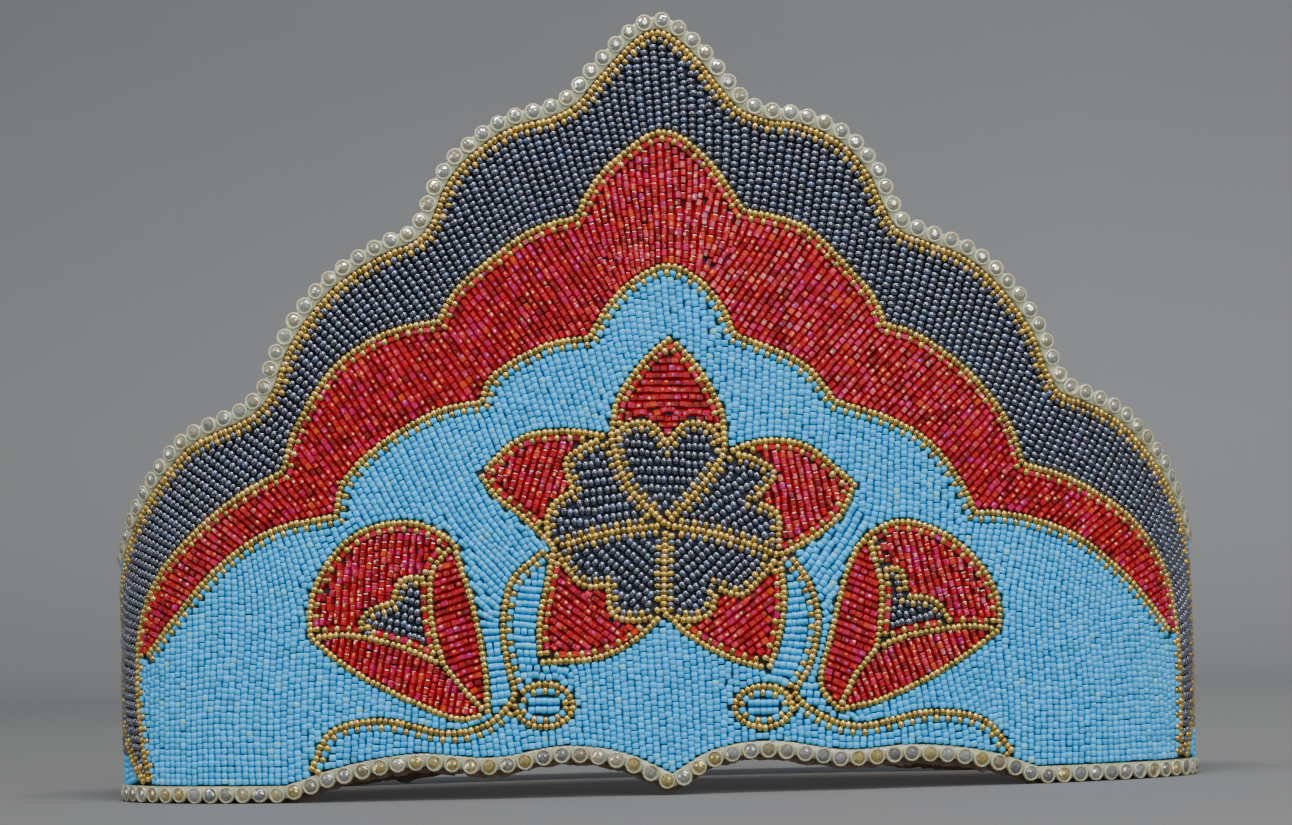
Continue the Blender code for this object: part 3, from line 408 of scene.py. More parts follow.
def smooth_run(knots):
    """Points of a centripetal Catmull-Rom curve through one run of knots."""
    if len(knots) == 2:
        return knots
    padded = np.vstack([2 * knots[0] - knots[1], knots, 2 * knots[-1] - knots[-2]])
    gaps = np.sqrt(np.linalg.norm(np.diff(padded, axis=0), axis=1))
    times = np.concatenate([[0.0], np.cumsum(gaps)])
    pieces = []
    for k in range(1, len(padded) - 2):
        t0, t1, t2, t3 = times[k - 1:k + 3]
        p0, p1, p2, p3 = padded[k - 1:k + 3]
        t = np.linspace(t1, t2, CURVE_SAMPLES, endpoint=False)[:, None]
        a1 = (t1 - t) / (t1 - t0) * p0 + (t - t0) / (t1 - t0) * p1
        a2 = (t2 - t) / (t2 - t1) * p1 + (t - t1) / (t2 - t1) * p2
        a3 = (t3 - t) / (t3 - t2) * p2 + (t - t2) / (t3 - t2) * p3
        b1 = (t2 - t) / (t2 - t0) * a1 + (t - t0) / (t2 - t0) * a2
        b2 = (t3 - t) / (t3 - t1) * a2 + (t - t1) / (t3 - t1) * a3
        pieces.append((t2 - t) / (t2 - t1) * b1 + (t - t1) / (t2 - t1) * b2)
    pieces.append(knots[-1:])
    return np.vstack(pieces)


def path(rows, start=None, end=None):
    """A smooth line through a table of points, broken at its corner rows."""
    rows = list(rows)
    if start:
        rows.insert(0, (*start, 1))
    if end:
        rows.append((*end, 1))
    knots = np.array([row[:2] for row in rows], dtype=float)
    breaks = [0] + [k for k in range(1, len(rows) - 1) if rows[k][2]] + [len(rows) - 1]
    runs = [smooth_run(knots[a:b + 1]) for a, b in zip(breaks, breaks[1:])]
    return np.vstack([runs[0]] + [run[1:] for run in runs[1:]])


def loop_of(*lines):
    """One closed outline, anticlockwise, from lines laid end to end."""
    joined = np.vstack(lines)
    keep = np.linalg.norm(joined - np.roll(joined, 1, axis=0), axis=1) > 0.001
    joined = joined[keep]
    x, y = joined[:, 0], joined[:, 1]
    area = np.sum(x * np.roll(y, -1) - np.roll(x, -1) * y)
    return joined if area > 0 else joined[::-1]


def distance_to(points, line, closed):
    """Shortest distance from each point to a line: to the nearest foot on any of its stretches."""
    ends = np.roll(line, -1, axis=0) if closed else line[1:]
    starts = line if closed else line[:-1]
    run = ends - starts
    size = np.maximum((run ** 2).sum(axis=1), 1e-9)
    offset = points[:, None, :] - starts[None]
    share = np.clip((offset * run[None]).sum(axis=2) / size, 0, 1)
    foot = starts[None] + share[:, :, None] * run[None]
    return np.linalg.norm(points[:, None, :] - foot, axis=2).min(axis=1)


def beside(line, step, closed=False):
    """The line moved to its left by a distance, with mitred corners and no folded stretches."""
    after = (np.roll(line, -1, axis=0) if closed else np.vstack([line[1:], 2 * line[-1] - line[-2]])) - line
    after /= np.linalg.norm(after, axis=1)[:, None]
    before = np.roll(after, 1, axis=0)
    if not closed:
        before[0] = after[0]
    left_after = np.stack([-after[:, 1], after[:, 0]], axis=1)
    left_before = np.stack([-before[:, 1], before[:, 0]], axis=1)
    share = 1 + (left_after * left_before).sum(axis=1)
    moved = line + step * (left_after + left_before) / np.maximum(share, MITRE_LIMIT)[:, None]
    return moved[distance_to(moved, line, closed) > abs(step) * FOLD_SHARE]


def clip_along(line, low, high):
    """The part of a left-to-right line between two distances, with its ends on them."""
    inside = line[(line[:, 0] > low) & (line[:, 0] < high)]
    ends = np.array([[edge, np.interp(edge, line[:, 0], line[:, 1])] for edge in (low, high)])
    return np.vstack([ends[:1], inside, ends[1:]])


def back_line(height, dip):
    """A line round the back from side to side, lower by a dip that grows as a squared sine."""
    along = np.linspace(SIDE, 3 * SIDE, BACK_SAMPLES)
    return np.column_stack([along, height - dip * np.sin((along - SIDE) / (2 * SIDE) * math.pi) ** 2])


def back_hem():
    """The back's lower band line: flat at the sides, arched over the middle as a squared cosine."""
    along = np.linspace(SIDE, 3 * SIDE, BACK_SAMPLES)
    across = np.clip(np.abs(along - BACK) / BACK_ARCH_HALF, 0, 1)
    return np.column_stack([along, BAND_HALF + BACK_ARCH_RISE * np.cos(across * math.pi / 2) ** 2])


def top_line():
    """The middle of the front's top banding: the outer gold line moved out, level at both sides."""
    crown = beside(path(OUTER_LINE), BAND_FROM_GOLD)
    crown = crown[crown[:, 1] > BACK_TOP + SEAM_GAP]
    return np.vstack([[[-SIDE + SEAM_GAP, BACK_TOP]], crown, [[SIDE - SEAM_GAP, BACK_TOP]]])


def ellipse(centre_s, centre_z, radius_s, radius_z, sides=40):
    """A closed round outline from a centre and two radii."""
    turn = np.linspace(0, 2 * math.pi, sides, endpoint=False)
    return np.column_stack([centre_s + radius_s * np.cos(turn), centre_z + radius_z * np.sin(turn)])


def steps_along(line, pitch, closed=False):
    """Beads at equal steps along a line. Columns: distance round, height, angle of the thread, breadth."""
    if closed:
        line = np.vstack([line, line[:1]])
    run = np.diff(line, axis=0)
    along = np.concatenate([[0.0], np.cumsum(np.hypot(run[:, 0], run[:, 1]))])
    count = max(1, round(along[-1] / pitch))
    places = (np.arange(count) + 0.5) * along[-1] / count
    s, z = np.interp(places, along, line[:, 0]), np.interp(places, along, line[:, 1])
    ahead, behind = np.minimum(places + pitch / 2, along[-1]), np.maximum(places - pitch / 2, 0)
    ds = np.interp(ahead, along, line[:, 0]) - np.interp(behind, along, line[:, 0])
    dz = np.interp(ahead, along, line[:, 1]) - np.interp(behind, along, line[:, 1])
    return np.column_stack([s, z, np.arctan2(dz, ds), np.ones(count)])


def apart(beads, kept, gap):
    """The beads that lie at least a gap from those kept and from each other."""
    held = np.vstack([np.reshape(kept, (-1, 4)), beads])
    first = count = len(held) - len(beads)
    for bead in beads:
        near = held[:count, :2] - bead[:2]
        if not count or (near ** 2).sum(axis=1).min() >= gap ** 2:
            held[count] = bead
            count += 1
    return held[first:count].copy()


class Patch:
    """Cells of one bead field that the middle of a bead may take."""

    def __init__(self, outline):
        self.low = outline.min(axis=0) - CELL
        size = np.ceil((outline.max(axis=0) - self.low) / CELL).astype(int) + 2
        self.s = self.low[0] + CELL * np.arange(size[0])
        self.z = self.low[1] + CELL * np.arange(size[1])
        self.cells = self.within(outline)

    def cell_of(self, points):
        """Column and row of the cell that holds each point."""
        return ((points - self.low) / CELL + 0.5).astype(int)

    def within(self, outline):
        """Cells inside a closed outline: those with an odd number of its edges to their left."""
        cells = np.zeros((len(self.z), len(self.s)), dtype=bool)
        for (s0, z0), (s1, z1) in zip(outline, np.roll(outline, -1, axis=0)):
            rows = np.flatnonzero((self.z >= min(z0, z1)) & (self.z < max(z0, z1)))
            if len(rows):
                crossing = s0 + (self.z[rows] - z0) / (z1 - z0) * (s1 - s0)
                cells[rows] ^= self.s[None, :] > crossing[:, None]
        return cells

    def cut(self, outline):
        """Take away what lies inside a closed outline."""
        self.cells &= ~self.within(outline)
        return self

    def keep_off(self, line, margin):
        """Take away the cells within a margin of a line."""
        for start, end in zip(line[:-1], line[1:]):
            low = np.floor((np.minimum(start, end) - margin - self.low) / CELL).astype(int)
            high = np.ceil((np.maximum(start, end) + margin - self.low) / CELL).astype(int) + 1
            left, bottom = np.maximum(low, 0)
            right, top = np.minimum(high, [len(self.s), len(self.z)])
            if left < right and bottom < top:
                s, z = np.meshgrid(self.s[left:right], self.z[bottom:top])
                run = end - start
                share = ((s - start[0]) * run[0] + (z - start[1]) * run[1]) / max(run @ run, 1e-9)
                share = np.clip(share, 0, 1)
                away = np.hypot(s - start[0] - share * run[0], z - start[1] - share * run[1])
                self.cells[bottom:top, left:right] &= away > margin
        return self

    def grown(self, margin):
        """The cells within a margin of the patch's own."""
        cells = np.zeros_like(self.cells)
        height, width = cells.shape
        for up, across in zip(*disc(margin)):
            cells[max(up, 0):height + min(up, 0), max(across, 0):width + min(across, 0)] |= self.cells[
                max(-up, 0):height - max(up, 0), max(-across, 0):width - max(across, 0)]
        return cells


def heading_cells(patch, threads):
    """Thread direction in every cell: the table's angles, doubled and blended by inverse distance."""
    controls = np.array(threads, dtype=float)
    s, z = np.meshgrid(patch.s, patch.z)
    cos, sin = np.zeros_like(s), np.zeros_like(s)
    for at_s, at_z, angle in controls:
        weight = 1 / ((s - at_s) ** 2 + (z - at_z) ** 2 + HEADING_BLUR) ** 1.5
        cos += weight * math.cos(math.radians(2 * angle))
        sin += weight * math.sin(math.radians(2 * angle))
    half = 0.5 * np.arctan2(sin, cos)
    return np.cos(half), np.sin(half)


def disc(radius):
    """Cell offsets inside a circle."""
    reach = int(radius / CELL)
    across, up = np.meshgrid(np.arange(-reach, reach + 1), np.arange(-reach, reach + 1))
    inside = across ** 2 + up ** 2 <= (radius / CELL) ** 2
    return up[inside], across[inside]


def stamp(cells, rows, columns, shape):
    """Clear the cells of a disc around each place of a row of beads."""
    up = (rows[:, None] + shape[0][None]).ravel()
    across = (columns[:, None] + shape[1][None]).ravel()
    held = (up >= 0) & (up < cells.shape[0]) & (across >= 0) & (across < cells.shape[1])
    cells[up[held], across[held]] = False


def trace(seed, patch, open_cells, heading, sign):
    """Follow the thread from a seed one way until it leaves the open cells."""
    points = []
    at, last = np.array(seed), None
    for _ in range(TRACE_LIMIT):
        column, row = patch.cell_of(at)
        step = np.array([heading[0][row, column], heading[1][row, column]])
        if last is None:
            step = step * sign
        elif step @ last < 0:
            step = -step
        at, last = at + TRACE_STEP * step, step
        column, row = patch.cell_of(at)
        inside = 0 <= row < open_cells.shape[0] and 0 <= column < open_cells.shape[1]
        if not inside or not open_cells[row, column]:
            break
        points.append(at)
    return points


def lay_rows(patch, threads, spacing):
    """Evenly spaced threads that fill a patch: each new one starts one row beside a laid one."""
    heading = heading_cells(patch, threads)
    free, open_cells = patch.cells.copy(), patch.cells.copy()
    wide, narrow = disc(spacing * SEED_SHARE), disc(spacing * CROWD_SHARE)
    rows, seeds = [], []
    while True:
        if seeds:
            seed = seeds.pop(0)
        else:
            first = int(free.argmax())
            row, column = divmod(first, free.shape[1])
            if not free[row, column]:
                return rows
            seed = (patch.s[column], patch.z[row])
        column, row = patch.cell_of(np.array(seed))
        inside = 0 <= row < free.shape[0] and 0 <= column < free.shape[1]
        if not inside or not free[row, column]:
            continue
        back, ahead = (trace(seed, patch, open_cells, heading, sign) for sign in (-1, 1))
        line = np.array(back[::-1] + [np.array(seed)] + ahead)
        rows.append(line)
        cell = patch.cell_of(line)
        stamp(free, cell[:, 1], cell[:, 0], wide)
        stamp(open_cells, cell[:, 1], cell[:, 0], narrow)
        cos = heading[0][cell[:, 1], cell[:, 0]]
        sin = heading[1][cell[:, 1], cell[:, 0]]
        for side in (-1, 1):
            offset = np.stack([-sin, cos], axis=1) * side * spacing
            seeds += [tuple(point) for point in (line + offset)[::4]]


def fill(patch, threads, spacing, pitch):
    """Beads on every thread of a patch, end to end from edge to edge, evened out."""
    beads, rows = [], []
    for number, line in enumerate(lay_rows(patch, threads, spacing)):
        along = np.concatenate([[0.0], np.cumsum(np.hypot(*np.diff(line, axis=0).T))])
        count = max(1, round(along[-1] / pitch) + 1)
        places = np.linspace(0, along[-1], count) if count > 1 else np.array([along[-1] / 2])
        beads.append(np.column_stack([np.interp(places, along, line[:, 0]),
                                      np.interp(places, along, line[:, 1]),
                                      np.full(count, math.radians(threads[0][2])), np.ones(count)]))
        rows.append(np.full(count, number))
    if not beads:
        return np.empty((0, 4))
    return even_out(patch, np.vstack(beads), np.concatenate(rows), spacing, pitch)


def even_out(patch, beads, rows, spacing, pitch):
    """Share a patch's ground out between its beads and move each to the middle of its own.

    A cell goes to the bead that is nearest in its own measure: the step along its thread in bead
    steps and the step across it in row steps, squared and added. A row's beads move across
    together by their running mean, so a thread stays smooth. Breadth is the share of ground each has.
    """
    cover = patch.grown(COVER_SHARE * pitch)
    shape = disc(REACH_SHARE * max(spacing, pitch))
    for _ in range(EVEN_ROUNDS):
        turn_beads(beads, rows)
        cell = patch.cell_of(beads[:, :2])
        up = np.clip(cell[:, 1:] + shape[0], 0, cover.shape[0] - 1)
        across = np.clip(cell[:, :1] + shape[1], 0, cover.shape[1] - 1)
        s, z = patch.s[across] - beads[:, :1], patch.z[up] - beads[:, 1:2]
        cos, sin = np.cos(beads[:, 2:3]), np.sin(beads[:, 2:3])
        away = ((s * cos + z * sin) / pitch) ** 2 + ((z * cos - s * sin) / spacing) ** 2
        held = cover[up, across]
        number = np.broadcast_to(np.arange(len(beads))[:, None], held.shape)[held]
        order = np.argsort(-away[held], kind="stable")
        owner = np.full(cover.size, -1)
        owner[(up * cover.shape[1] + across)[held][order]] = number[order]
        taken = np.flatnonzero(owner >= 0)
        owner = owner[taken]
        ground = np.bincount(owner, minlength=len(beads))
        enough = np.maximum(ground, 1)
        move = [np.bincount(owner, grid, len(beads)) / enough - beads[:, k] * (ground > 0) for k, grid in
                enumerate((patch.s[taken % cover.shape[1]], patch.z[taken // cover.shape[1]]))]
        cos, sin = cos[:, 0], sin[:, 0]
        ahead, aside = move[0] * cos + move[1] * sin, row_mean(move[1] * cos - move[0] * sin, rows)
        beads[:, 0] += THREAD_DAMPING * ahead * cos - aside * sin
        beads[:, 1] += THREAD_DAMPING * ahead * sin + aside * cos
    turn_beads(beads, rows)
    share = ground * CELL ** 2 / (spacing * pitch)
    beads[:, 3] = np.clip(row_mean(share, rows), *BREADTHS)
    return beads[share > GROUND_SHARE]


def row_mean(values, rows):
    """Running mean over five neighbours of the same row."""
    total, weight = np.zeros(len(values)), np.zeros(len(values))
    for step in range(-2, 3):
        same = np.roll(rows, step) == rows
        total += np.roll(values, step) * same
        weight += same
    return total / weight


def turn_beads(beads, rows):
    """Point each bead from the one behind to the one ahead on its thread."""
    ahead = np.where((np.roll(rows, -1) == rows)[:, None], np.roll(beads, -1, axis=0), beads)
    behind = np.where((np.roll(rows, 1) == rows)[:, None], np.roll(beads, 1, axis=0), beads)
    run = ahead - behind
    moved = np.hypot(run[:, 0], run[:, 1]) > 0
    beads[moved, 2] = np.arctan2(run[moved, 1], run[moved, 0])


def turned(rings, sides, out=False):
    """Points and faces of a turned shape with closed ends.

    Each ring is a circle of points: the place along the axis, the radius, and with a third column
    a turn in half steps. The axis lies along the thread, or points out of the sheet.
    """
    rings = np.array(rings, dtype=float)
    twist = rings[:, 2] if rings.shape[1] > 2 else np.zeros(len(rings))
    turn = 2 * math.pi * (np.arange(sides)[None] + 0.5 * twist[:, None]) / sides
    axis = np.repeat(rings[:, :1], sides, axis=1)
    first, second = rings[:, 1:2] * np.cos(turn), rings[:, 1:2] * np.sin(turn)
    columns = (first, second, axis) if out else (axis, first, second)
    points = np.stack(columns, axis=-1).reshape(-1, 3)
    faces = [list(range(sides))[::-1]]
    for k in range(len(rings) - 1):
        for j in range(sides):
            after = (j + 1) % sides
            faces.append([k * sides + j, k * sides + after, (k + 1) * sides + after, (k + 1) * sides + j])
    faces.append([(len(rings) - 1) * sides + j for j in range(sides)])
    return points, faces


def build_mesh(name, points, faces, smooth, attributes=()):
    """A mesh object from an array of points and repeated faces, with values on its points."""
    mesh = bpy.data.meshes.new(name)
    mesh.vertices.add(len(points))
    mesh.vertices.foreach_set("co", points.astype(np.float32).ravel())
    corners, totals = faces
    mesh.loops.add(len(corners))
    mesh.loops.foreach_set("vertex_index", corners.astype(np.int32))
    mesh.polygons.add(len(totals))
    starts = np.concatenate([[0], np.cumsum(totals)[:-1]])
    mesh.polygons.foreach_set("loop_start", starts.astype(np.int32))
    mesh.update(calc_edges=True)
    mesh.polygons.foreach_set("use_smooth", np.full(len(totals), smooth))
    for label, values in attributes:
        mesh.attributes.new(label, "FLOAT", "POINT").data.foreach_set("value", values.astype(np.float32))
    mesh.validate()
    made = bpy.data.objects.new(name, mesh)
    bpy.context.scene.collection.objects.link(made)
    return made


def repeated(shape, count):
    """The faces of one shape repeated for every copy: its corner numbers moved on by its points."""
    points, faces = shape
    corners = np.concatenate([np.array(face) for face in faces])
    totals = np.array([len(face) for face in faces])
    moved = corners[None] + (np.arange(count) * len(points))[:, None]
    return moved.ravel(), np.tile(totals, count)


def scatter(name, shape, beads, depth, size, smooth, rng, wobble=(0, 0, 0)):
    """One mesh of many copies of a shape on the bent sheet.

    A copy's frame is the thread direction, the direction across it in the sheet, and the outward
    normal. Its point is the middle plus its three coordinates, each times its size, along these.
    wobble is how far copies differ: in place in millimetres, in angle in radians and in size.
    """
    count = len(beads)
    place, angle, share = wobble
    s, z, turn = (beads[:, k] + spread * rng.standard_normal(count)
                  for k, spread in enumerate((place, place, angle)))
    n = np.broadcast_to(depth, count) + place * rng.standard_normal(count)
    _, _, nx, ny = around(s)
    zero, one = np.zeros(count), np.ones(count)
    out = np.stack([nx, ny, zero], axis=1)
    level = np.stack([-ny, nx, zero], axis=1)
    up = np.stack([zero, zero, one], axis=1)
    thread = np.cos(turn)[:, None] * level + np.sin(turn)[:, None] * up
    tip = angle * rng.standard_normal(count)[:, None]
    thread = thread * np.cos(tip) + out * np.sin(tip)
    across = np.cross(out, thread)
    across /= np.linalg.norm(across, axis=1)[:, None]
    out = np.cross(thread, across)
    scale = np.array(size)[None] * (1 + share * rng.standard_normal((count, 1)))
    scale[:, 1] *= beads[:, 3]
    local = shape[0][None] * scale[:, None, :]
    points = bend(s, z, n)[:, None, :] + MM * (local[..., :1] * thread[:, None] + local[..., 1:2]
                                               * across[:, None] + local[..., 2:] * out[:, None])
    each = len(shape[0])
    tint, shade = (np.repeat(rng.random(count), each) for _ in range(2))
    along, aside = (np.tile(shape[0][:, k], count) for k in range(2))
    return build_mesh(name, points.reshape(-1, 3), repeated(shape, count), smooth,
                      (("tint", tint), ("shade", shade), ("along", along), ("aside", aside)))


def swept(rings):
    """Points and faces of a closed section carried along a path, with both ends closed."""
    count, around_section = rings.shape[:2]
    k, j = np.meshgrid(np.arange(count - 1), np.arange(around_section), indexing="ij")
    after = (j + 1) % around_section
    quads = np.stack([k * around_section + j, k * around_section + after,
                      (k + 1) * around_section + after, (k + 1) * around_section + j], axis=-1)
    ends = np.concatenate([np.arange(around_section)[::-1],
                           (count - 1) * around_section + np.arange(around_section)])
    corners = np.concatenate([quads.reshape(-1), ends])
    totals = np.concatenate([np.full(quads.size // 4, 4), [around_section, around_section]])
    return rings.reshape(-1, 3), (corners, totals)


def new_material(name, roughness, metallic=0.0, specular=0.5, coat=0.0):
    """A Principled material and its node tree."""
    made = bpy.data.materials.new(name)
    made.use_nodes = True
    shader = made.node_tree.nodes["Principled BSDF"]
    shader.inputs["Roughness"].default_value = roughness
    shader.inputs["Metallic"].default_value = metallic
    shader.inputs["Specular IOR Level"].default_value = specular
    shader.inputs["Coat Weight"].default_value = coat
    shader.inputs["Coat Roughness"].default_value = 0.08
    return made, made.node_tree, shader


def attribute(tree, label):
    """A value that every copy in a piece carries."""
    node = tree.nodes.new("ShaderNodeAttribute")
    node.attribute_name = label
    return node.outputs["Fac"]


def surface_noise(tree, scale, detail=3.0):
    """Noise on Object coordinates."""
    place = tree.nodes.new("ShaderNodeTexCoord")
    noise = tree.nodes.new("ShaderNodeTexNoise")
    noise.inputs["Scale"].default_value = scale
    noise.inputs["Detail"].default_value = detail
    tree.links.new(place.outputs["Object"], noise.inputs["Vector"])
    return noise


def bump(tree, shader, height, strength, distance):
    """Bump from a height value."""
    made = tree.nodes.new("ShaderNodeBump")
    made.inputs["Strength"].default_value = strength
    made.inputs["Distance"].default_value = distance
    tree.links.new(height, made.inputs["Height"])
    tree.links.new(made.outputs["Normal"], shader.inputs["Normal"])


def mix_colour(tree, share, first, second, kind="MIX"):
    """One colour mixed into another. Each is a colour or an output."""
    mix = tree.nodes.new("ShaderNodeMix")
    mix.data_type = "RGBA"
    mix.blend_type = kind
    for socket, value in (("Factor", share), ("A", first), ("B", second)):
        target = [item for item in mix.inputs if item.name == socket and item.enabled][0]
        if isinstance(value, bpy.types.NodeSocket):
            tree.links.new(value, target)
        else:
            target.default_value = value if socket == "Factor" else (*value, 1)
    return [item for item in mix.outputs if item.enabled][0]


def lighter(colour, factor):
    """A colour times a factor, held under one."""
    return tuple(min(1.0, channel * factor) for channel in colour)


def bead_finish(name, stops, roughness, metallic, specular, coat, grain, depth=0.35):
    """Beads: a tint for each bead, mottled by a grain finer than a bead, some rougher than others."""
    made, tree, shader = new_material(name, roughness, metallic, specular, coat)
    ramp = ramp_of(tree, attribute(tree, "tint"), stops)
    noise = surface_noise(tree, grain)
    colour = mix_colour(tree, depth, ramp.outputs["Color"], noise.outputs["Fac"], "OVERLAY")
    tree.links.new(colour, shader.inputs["Base Color"])
    spread = ranged(tree, attribute(tree, "shade"), 0, 1, roughness * 0.7, roughness * 1.5)
    tree.links.new(spread, shader.inputs["Roughness"])
    return made, tree, shader, colour


def blue_finish(colour):
    """Opaque turquoise glass, satin, a few beads greyer or lighter."""
    stops = [(0.0, lighter(colour, 0.78)), (0.25, lighter(colour, 0.95)), (0.8, lighter(colour, 1.04)),
             (0.95, lighter(colour, 1.12)), (1.0, (0.2, 0.6, 0.72))]
    return bead_finish("turquoise_glass", stops, 0.34, 0.0, 0.5, 0.1, 900, 0.3)[0]


def navy_finish(colour):
    """Opaque gunmetal navy glass: dark, with sharp highlights, some beads bluer, purple or green."""
    stops = [(0.0, lighter(colour, 0.6)), (0.5, colour), (0.8, lighter(colour, 1.35)),
             (0.9, (0.05, 0.09, 0.19)), (0.96, (0.08, 0.05, 0.13)), (1.0, (0.04, 0.11, 0.11))]
    made, _, shader, _ = bead_finish("gunmetal_navy_glass", stops, 0.14, 0.35, 1.0, 1.0, 700)
    shader.inputs["Coat Roughness"].default_value = 0.03
    shader.inputs["Coat IOR"].default_value = 2.0
    return made


def ramp_of(tree, value, stops):
    """A colour ramp on an output."""
    ramp = tree.nodes.new("ShaderNodeValToRGB")
    tree.links.new(value, ramp.inputs["Fac"])
    elements = ramp.color_ramp.elements
    while len(elements) < len(stops):
        elements.new(0.5)
    for element, (place, shade) in zip(elements, stops):
        element.position = place
        element.color = (*shade, 1)
    return ramp


def calculate(tree, kind, *values):
    """One Math node on outputs and numbers."""
    node = tree.nodes.new("ShaderNodeMath")
    node.operation = kind
    node.use_clamp = kind == "MULTIPLY"
    for socket, value in zip(node.inputs, values):
        if isinstance(value, bpy.types.NodeSocket):
            tree.links.new(value, socket)
        else:
            socket.default_value = value
    return node.outputs["Value"]


def ranged(tree, value, low, high, first=0.0, last=1.0):
    """A value moved from one range to another and held inside it."""
    node = tree.nodes.new("ShaderNodeMapRange")
    for label, number in (("From Min", low), ("From Max", high), ("To Min", first), ("To Max", last)):
        node.inputs[label].default_value = number
    tree.links.new(value, node.inputs["Value"])
    return node.outputs["Result"]


def scrambled(tree, value, factor):
    """Another random number from a random number: the fraction of it times a factor."""
    return calculate(tree, "FRACT", calculate(tree, "MULTIPLY_ADD", value, factor, 0.0))


def red_finish(colour):
    """Clear red glass tubes, each with a painted highlight in a rainbow colour.

    A bead is crimson, red or a little orange. On it lies a painted highlight, a spot of light mixed into
    its base colour: an ellipse whose middle, strength and colour, from violet through pink and orange to
    peach, differ from bead to bead.
    """
    stops = [(0.0, lighter(colour, 0.4)), (0.3, lighter(colour, 0.7)), (0.7, colour),
             (0.86, (0.42, 0.0, 0.07)), (0.94, (0.56, 0.04, 0.0)), (1.0, (0.34, 0.0, 0.1))]
    made, tree, shader, colour = bead_finish("rainbow_red_glass", stops, 0.22, 0.0, 0.4, 0.3, 1500, 0.5)
    along, aside, tint, shade = (attribute(tree, label) for label in ("along", "aside", "tint", "shade"))
    places = []
    for place, half, low, high, factor in ((aside, 0.34, -0.1, 0.5, 7.0), (along, 0.26, -0.25, 0.25, 23.0)):
        middle = ranged(tree, scrambled(tree, shade, factor), 0, 1, low, high)
        away = calculate(tree, "SUBTRACT", place, middle)
        away = calculate(tree, "DIVIDE", away, half)
        places.append(calculate(tree, "POWER", calculate(tree, "ABSOLUTE", away), 2.0))
    # Painted highlight: a bright spot in the base colour where light would glint on the bead
    spot = ranged(tree, calculate(tree, "ADD", *places), 0.25, 1.1, 1.0, 0.0)
    strength = ranged(tree, scrambled(tree, tint, 13.0), 0.4, 0.95, 0.08, 1.0)
    share = calculate(tree, "MULTIPLY", spot, strength)
    # Colours of the painted highlights, from violet to peach
    painted_glint_colours = [(0.0, (0.42, 0.1, 0.6)), (0.14, (0.75, 0.08, 0.42)), (0.3, (0.9, 0.2, 0.36)),
              (0.48, (0.95, 0.18, 0.03)), (0.7, (1.0, 0.42, 0.1)), (0.9, (1.0, 0.66, 0.4))]
    region = ranged(tree, surface_noise(tree, 75, 2).outputs["Fac"], 0.38, 0.62, -0.3, 0.2)
    ramp = ramp_of(tree, calculate(tree, "ADD", scrambled(tree, shade, 41.0), region), painted_glint_colours)
    tree.links.new(mix_colour(tree, share, colour, ramp.outputs["Color"]), shader.inputs["Base Color"])
    shader.inputs["Coat Roughness"].default_value = 0.05
    return made


def gold_finish(colour):
    """Metal-coated beads, a little worn and browner in places."""
    stops = [(0.0, lighter(colour, 0.55)), (0.4, lighter(colour, 0.9)), (0.85, lighter(colour, 1.2)),
             (1.0, (0.7, 0.48, 0.22))]
    return bead_finish("gold_lined_beads", stops, 0.2, 0.8, 0.6, 0.7, 800, 0.6)[0]


def height_share(tree, low, high):
    """How far a point is between two heights."""
    place, split = tree.nodes.new("ShaderNodeTexCoord"), tree.nodes.new("ShaderNodeSeparateXYZ")
    tree.links.new(place.outputs["Object"], split.inputs["Vector"])
    return ranged(tree, split.outputs["Z"], low, high)


def milk_finish(colour):
    """Milky clear plastic, yellowed in places and greyer towards the hem."""
    made, tree, shader = new_material("milky_plastic", 0.24, 0.0, 0.5, 0.5)
    tone = mix_colour(tree, height_share(tree, 0.02, 0.09), lighter(colour, 0.52), colour)
    tone = mix_colour(tree, surface_noise(tree, 45).outputs["Fac"], tone, (0.56, 0.53, 0.32))
    tree.links.new(tone, shader.inputs["Base Color"])
    shader.inputs["Subsurface Weight"].default_value = 0.4
    shader.inputs["Subsurface Scale"].default_value = 0.002
    shader.inputs["Transmission Weight"].default_value = 0.15
    bump(tree, shader, surface_noise(tree, 900).outputs["Fac"], 0.25, 0.0002)
    return made


def stone_finish():
    """Foil-backed stones: grey glass with bright facets, or yellowed to olive gold, more at the hem."""
    made, tree, shader = new_material("clear_stone", 0.07, 0.7, 0.8, 1.0)
    stops = [(0.0, (0.2, 0.2, 0.19)), (0.25, (0.42, 0.42, 0.4)), (0.5, (0.3, 0.29, 0.22)),
             (0.6, (0.42, 0.32, 0.1)), (0.85, (0.5, 0.4, 0.15)), (1.0, (0.7, 0.7, 0.66))]
    ramp = ramp_of(tree, attribute(tree, "tint"), stops)
    noise = surface_noise(tree, 1300)
    tone = mix_colour(tree, 0.8, ramp.outputs["Color"], noise.outputs["Fac"], "OVERLAY")
    clear = calculate(tree, "MULTIPLY", height_share(tree, 0.02, 0.07), 0.62)
    tree.links.new(mix_colour(tree, clear, tone, (0.5, 0.5, 0.43)), shader.inputs["Base Color"])
    return made


def gap_shade_finish():
    """Dark sheet under the beads: its colour is painted shade, dark navy for the shaded gaps between the
    beads.
    """
    made, tree, shader = new_material("dark_felt", 0.95, 0.0, 0.1)
    noise = surface_noise(tree, 1500, 5)
    tone = mix_colour(tree, noise.outputs["Fac"], (0.045, 0.055, 0.08), (0.085, 0.1, 0.14))
    tree.links.new(tone, shader.inputs["Base Color"])
    bump(tree, shader, noise.outputs["Fac"], 0.5, 0.0003)
    return made


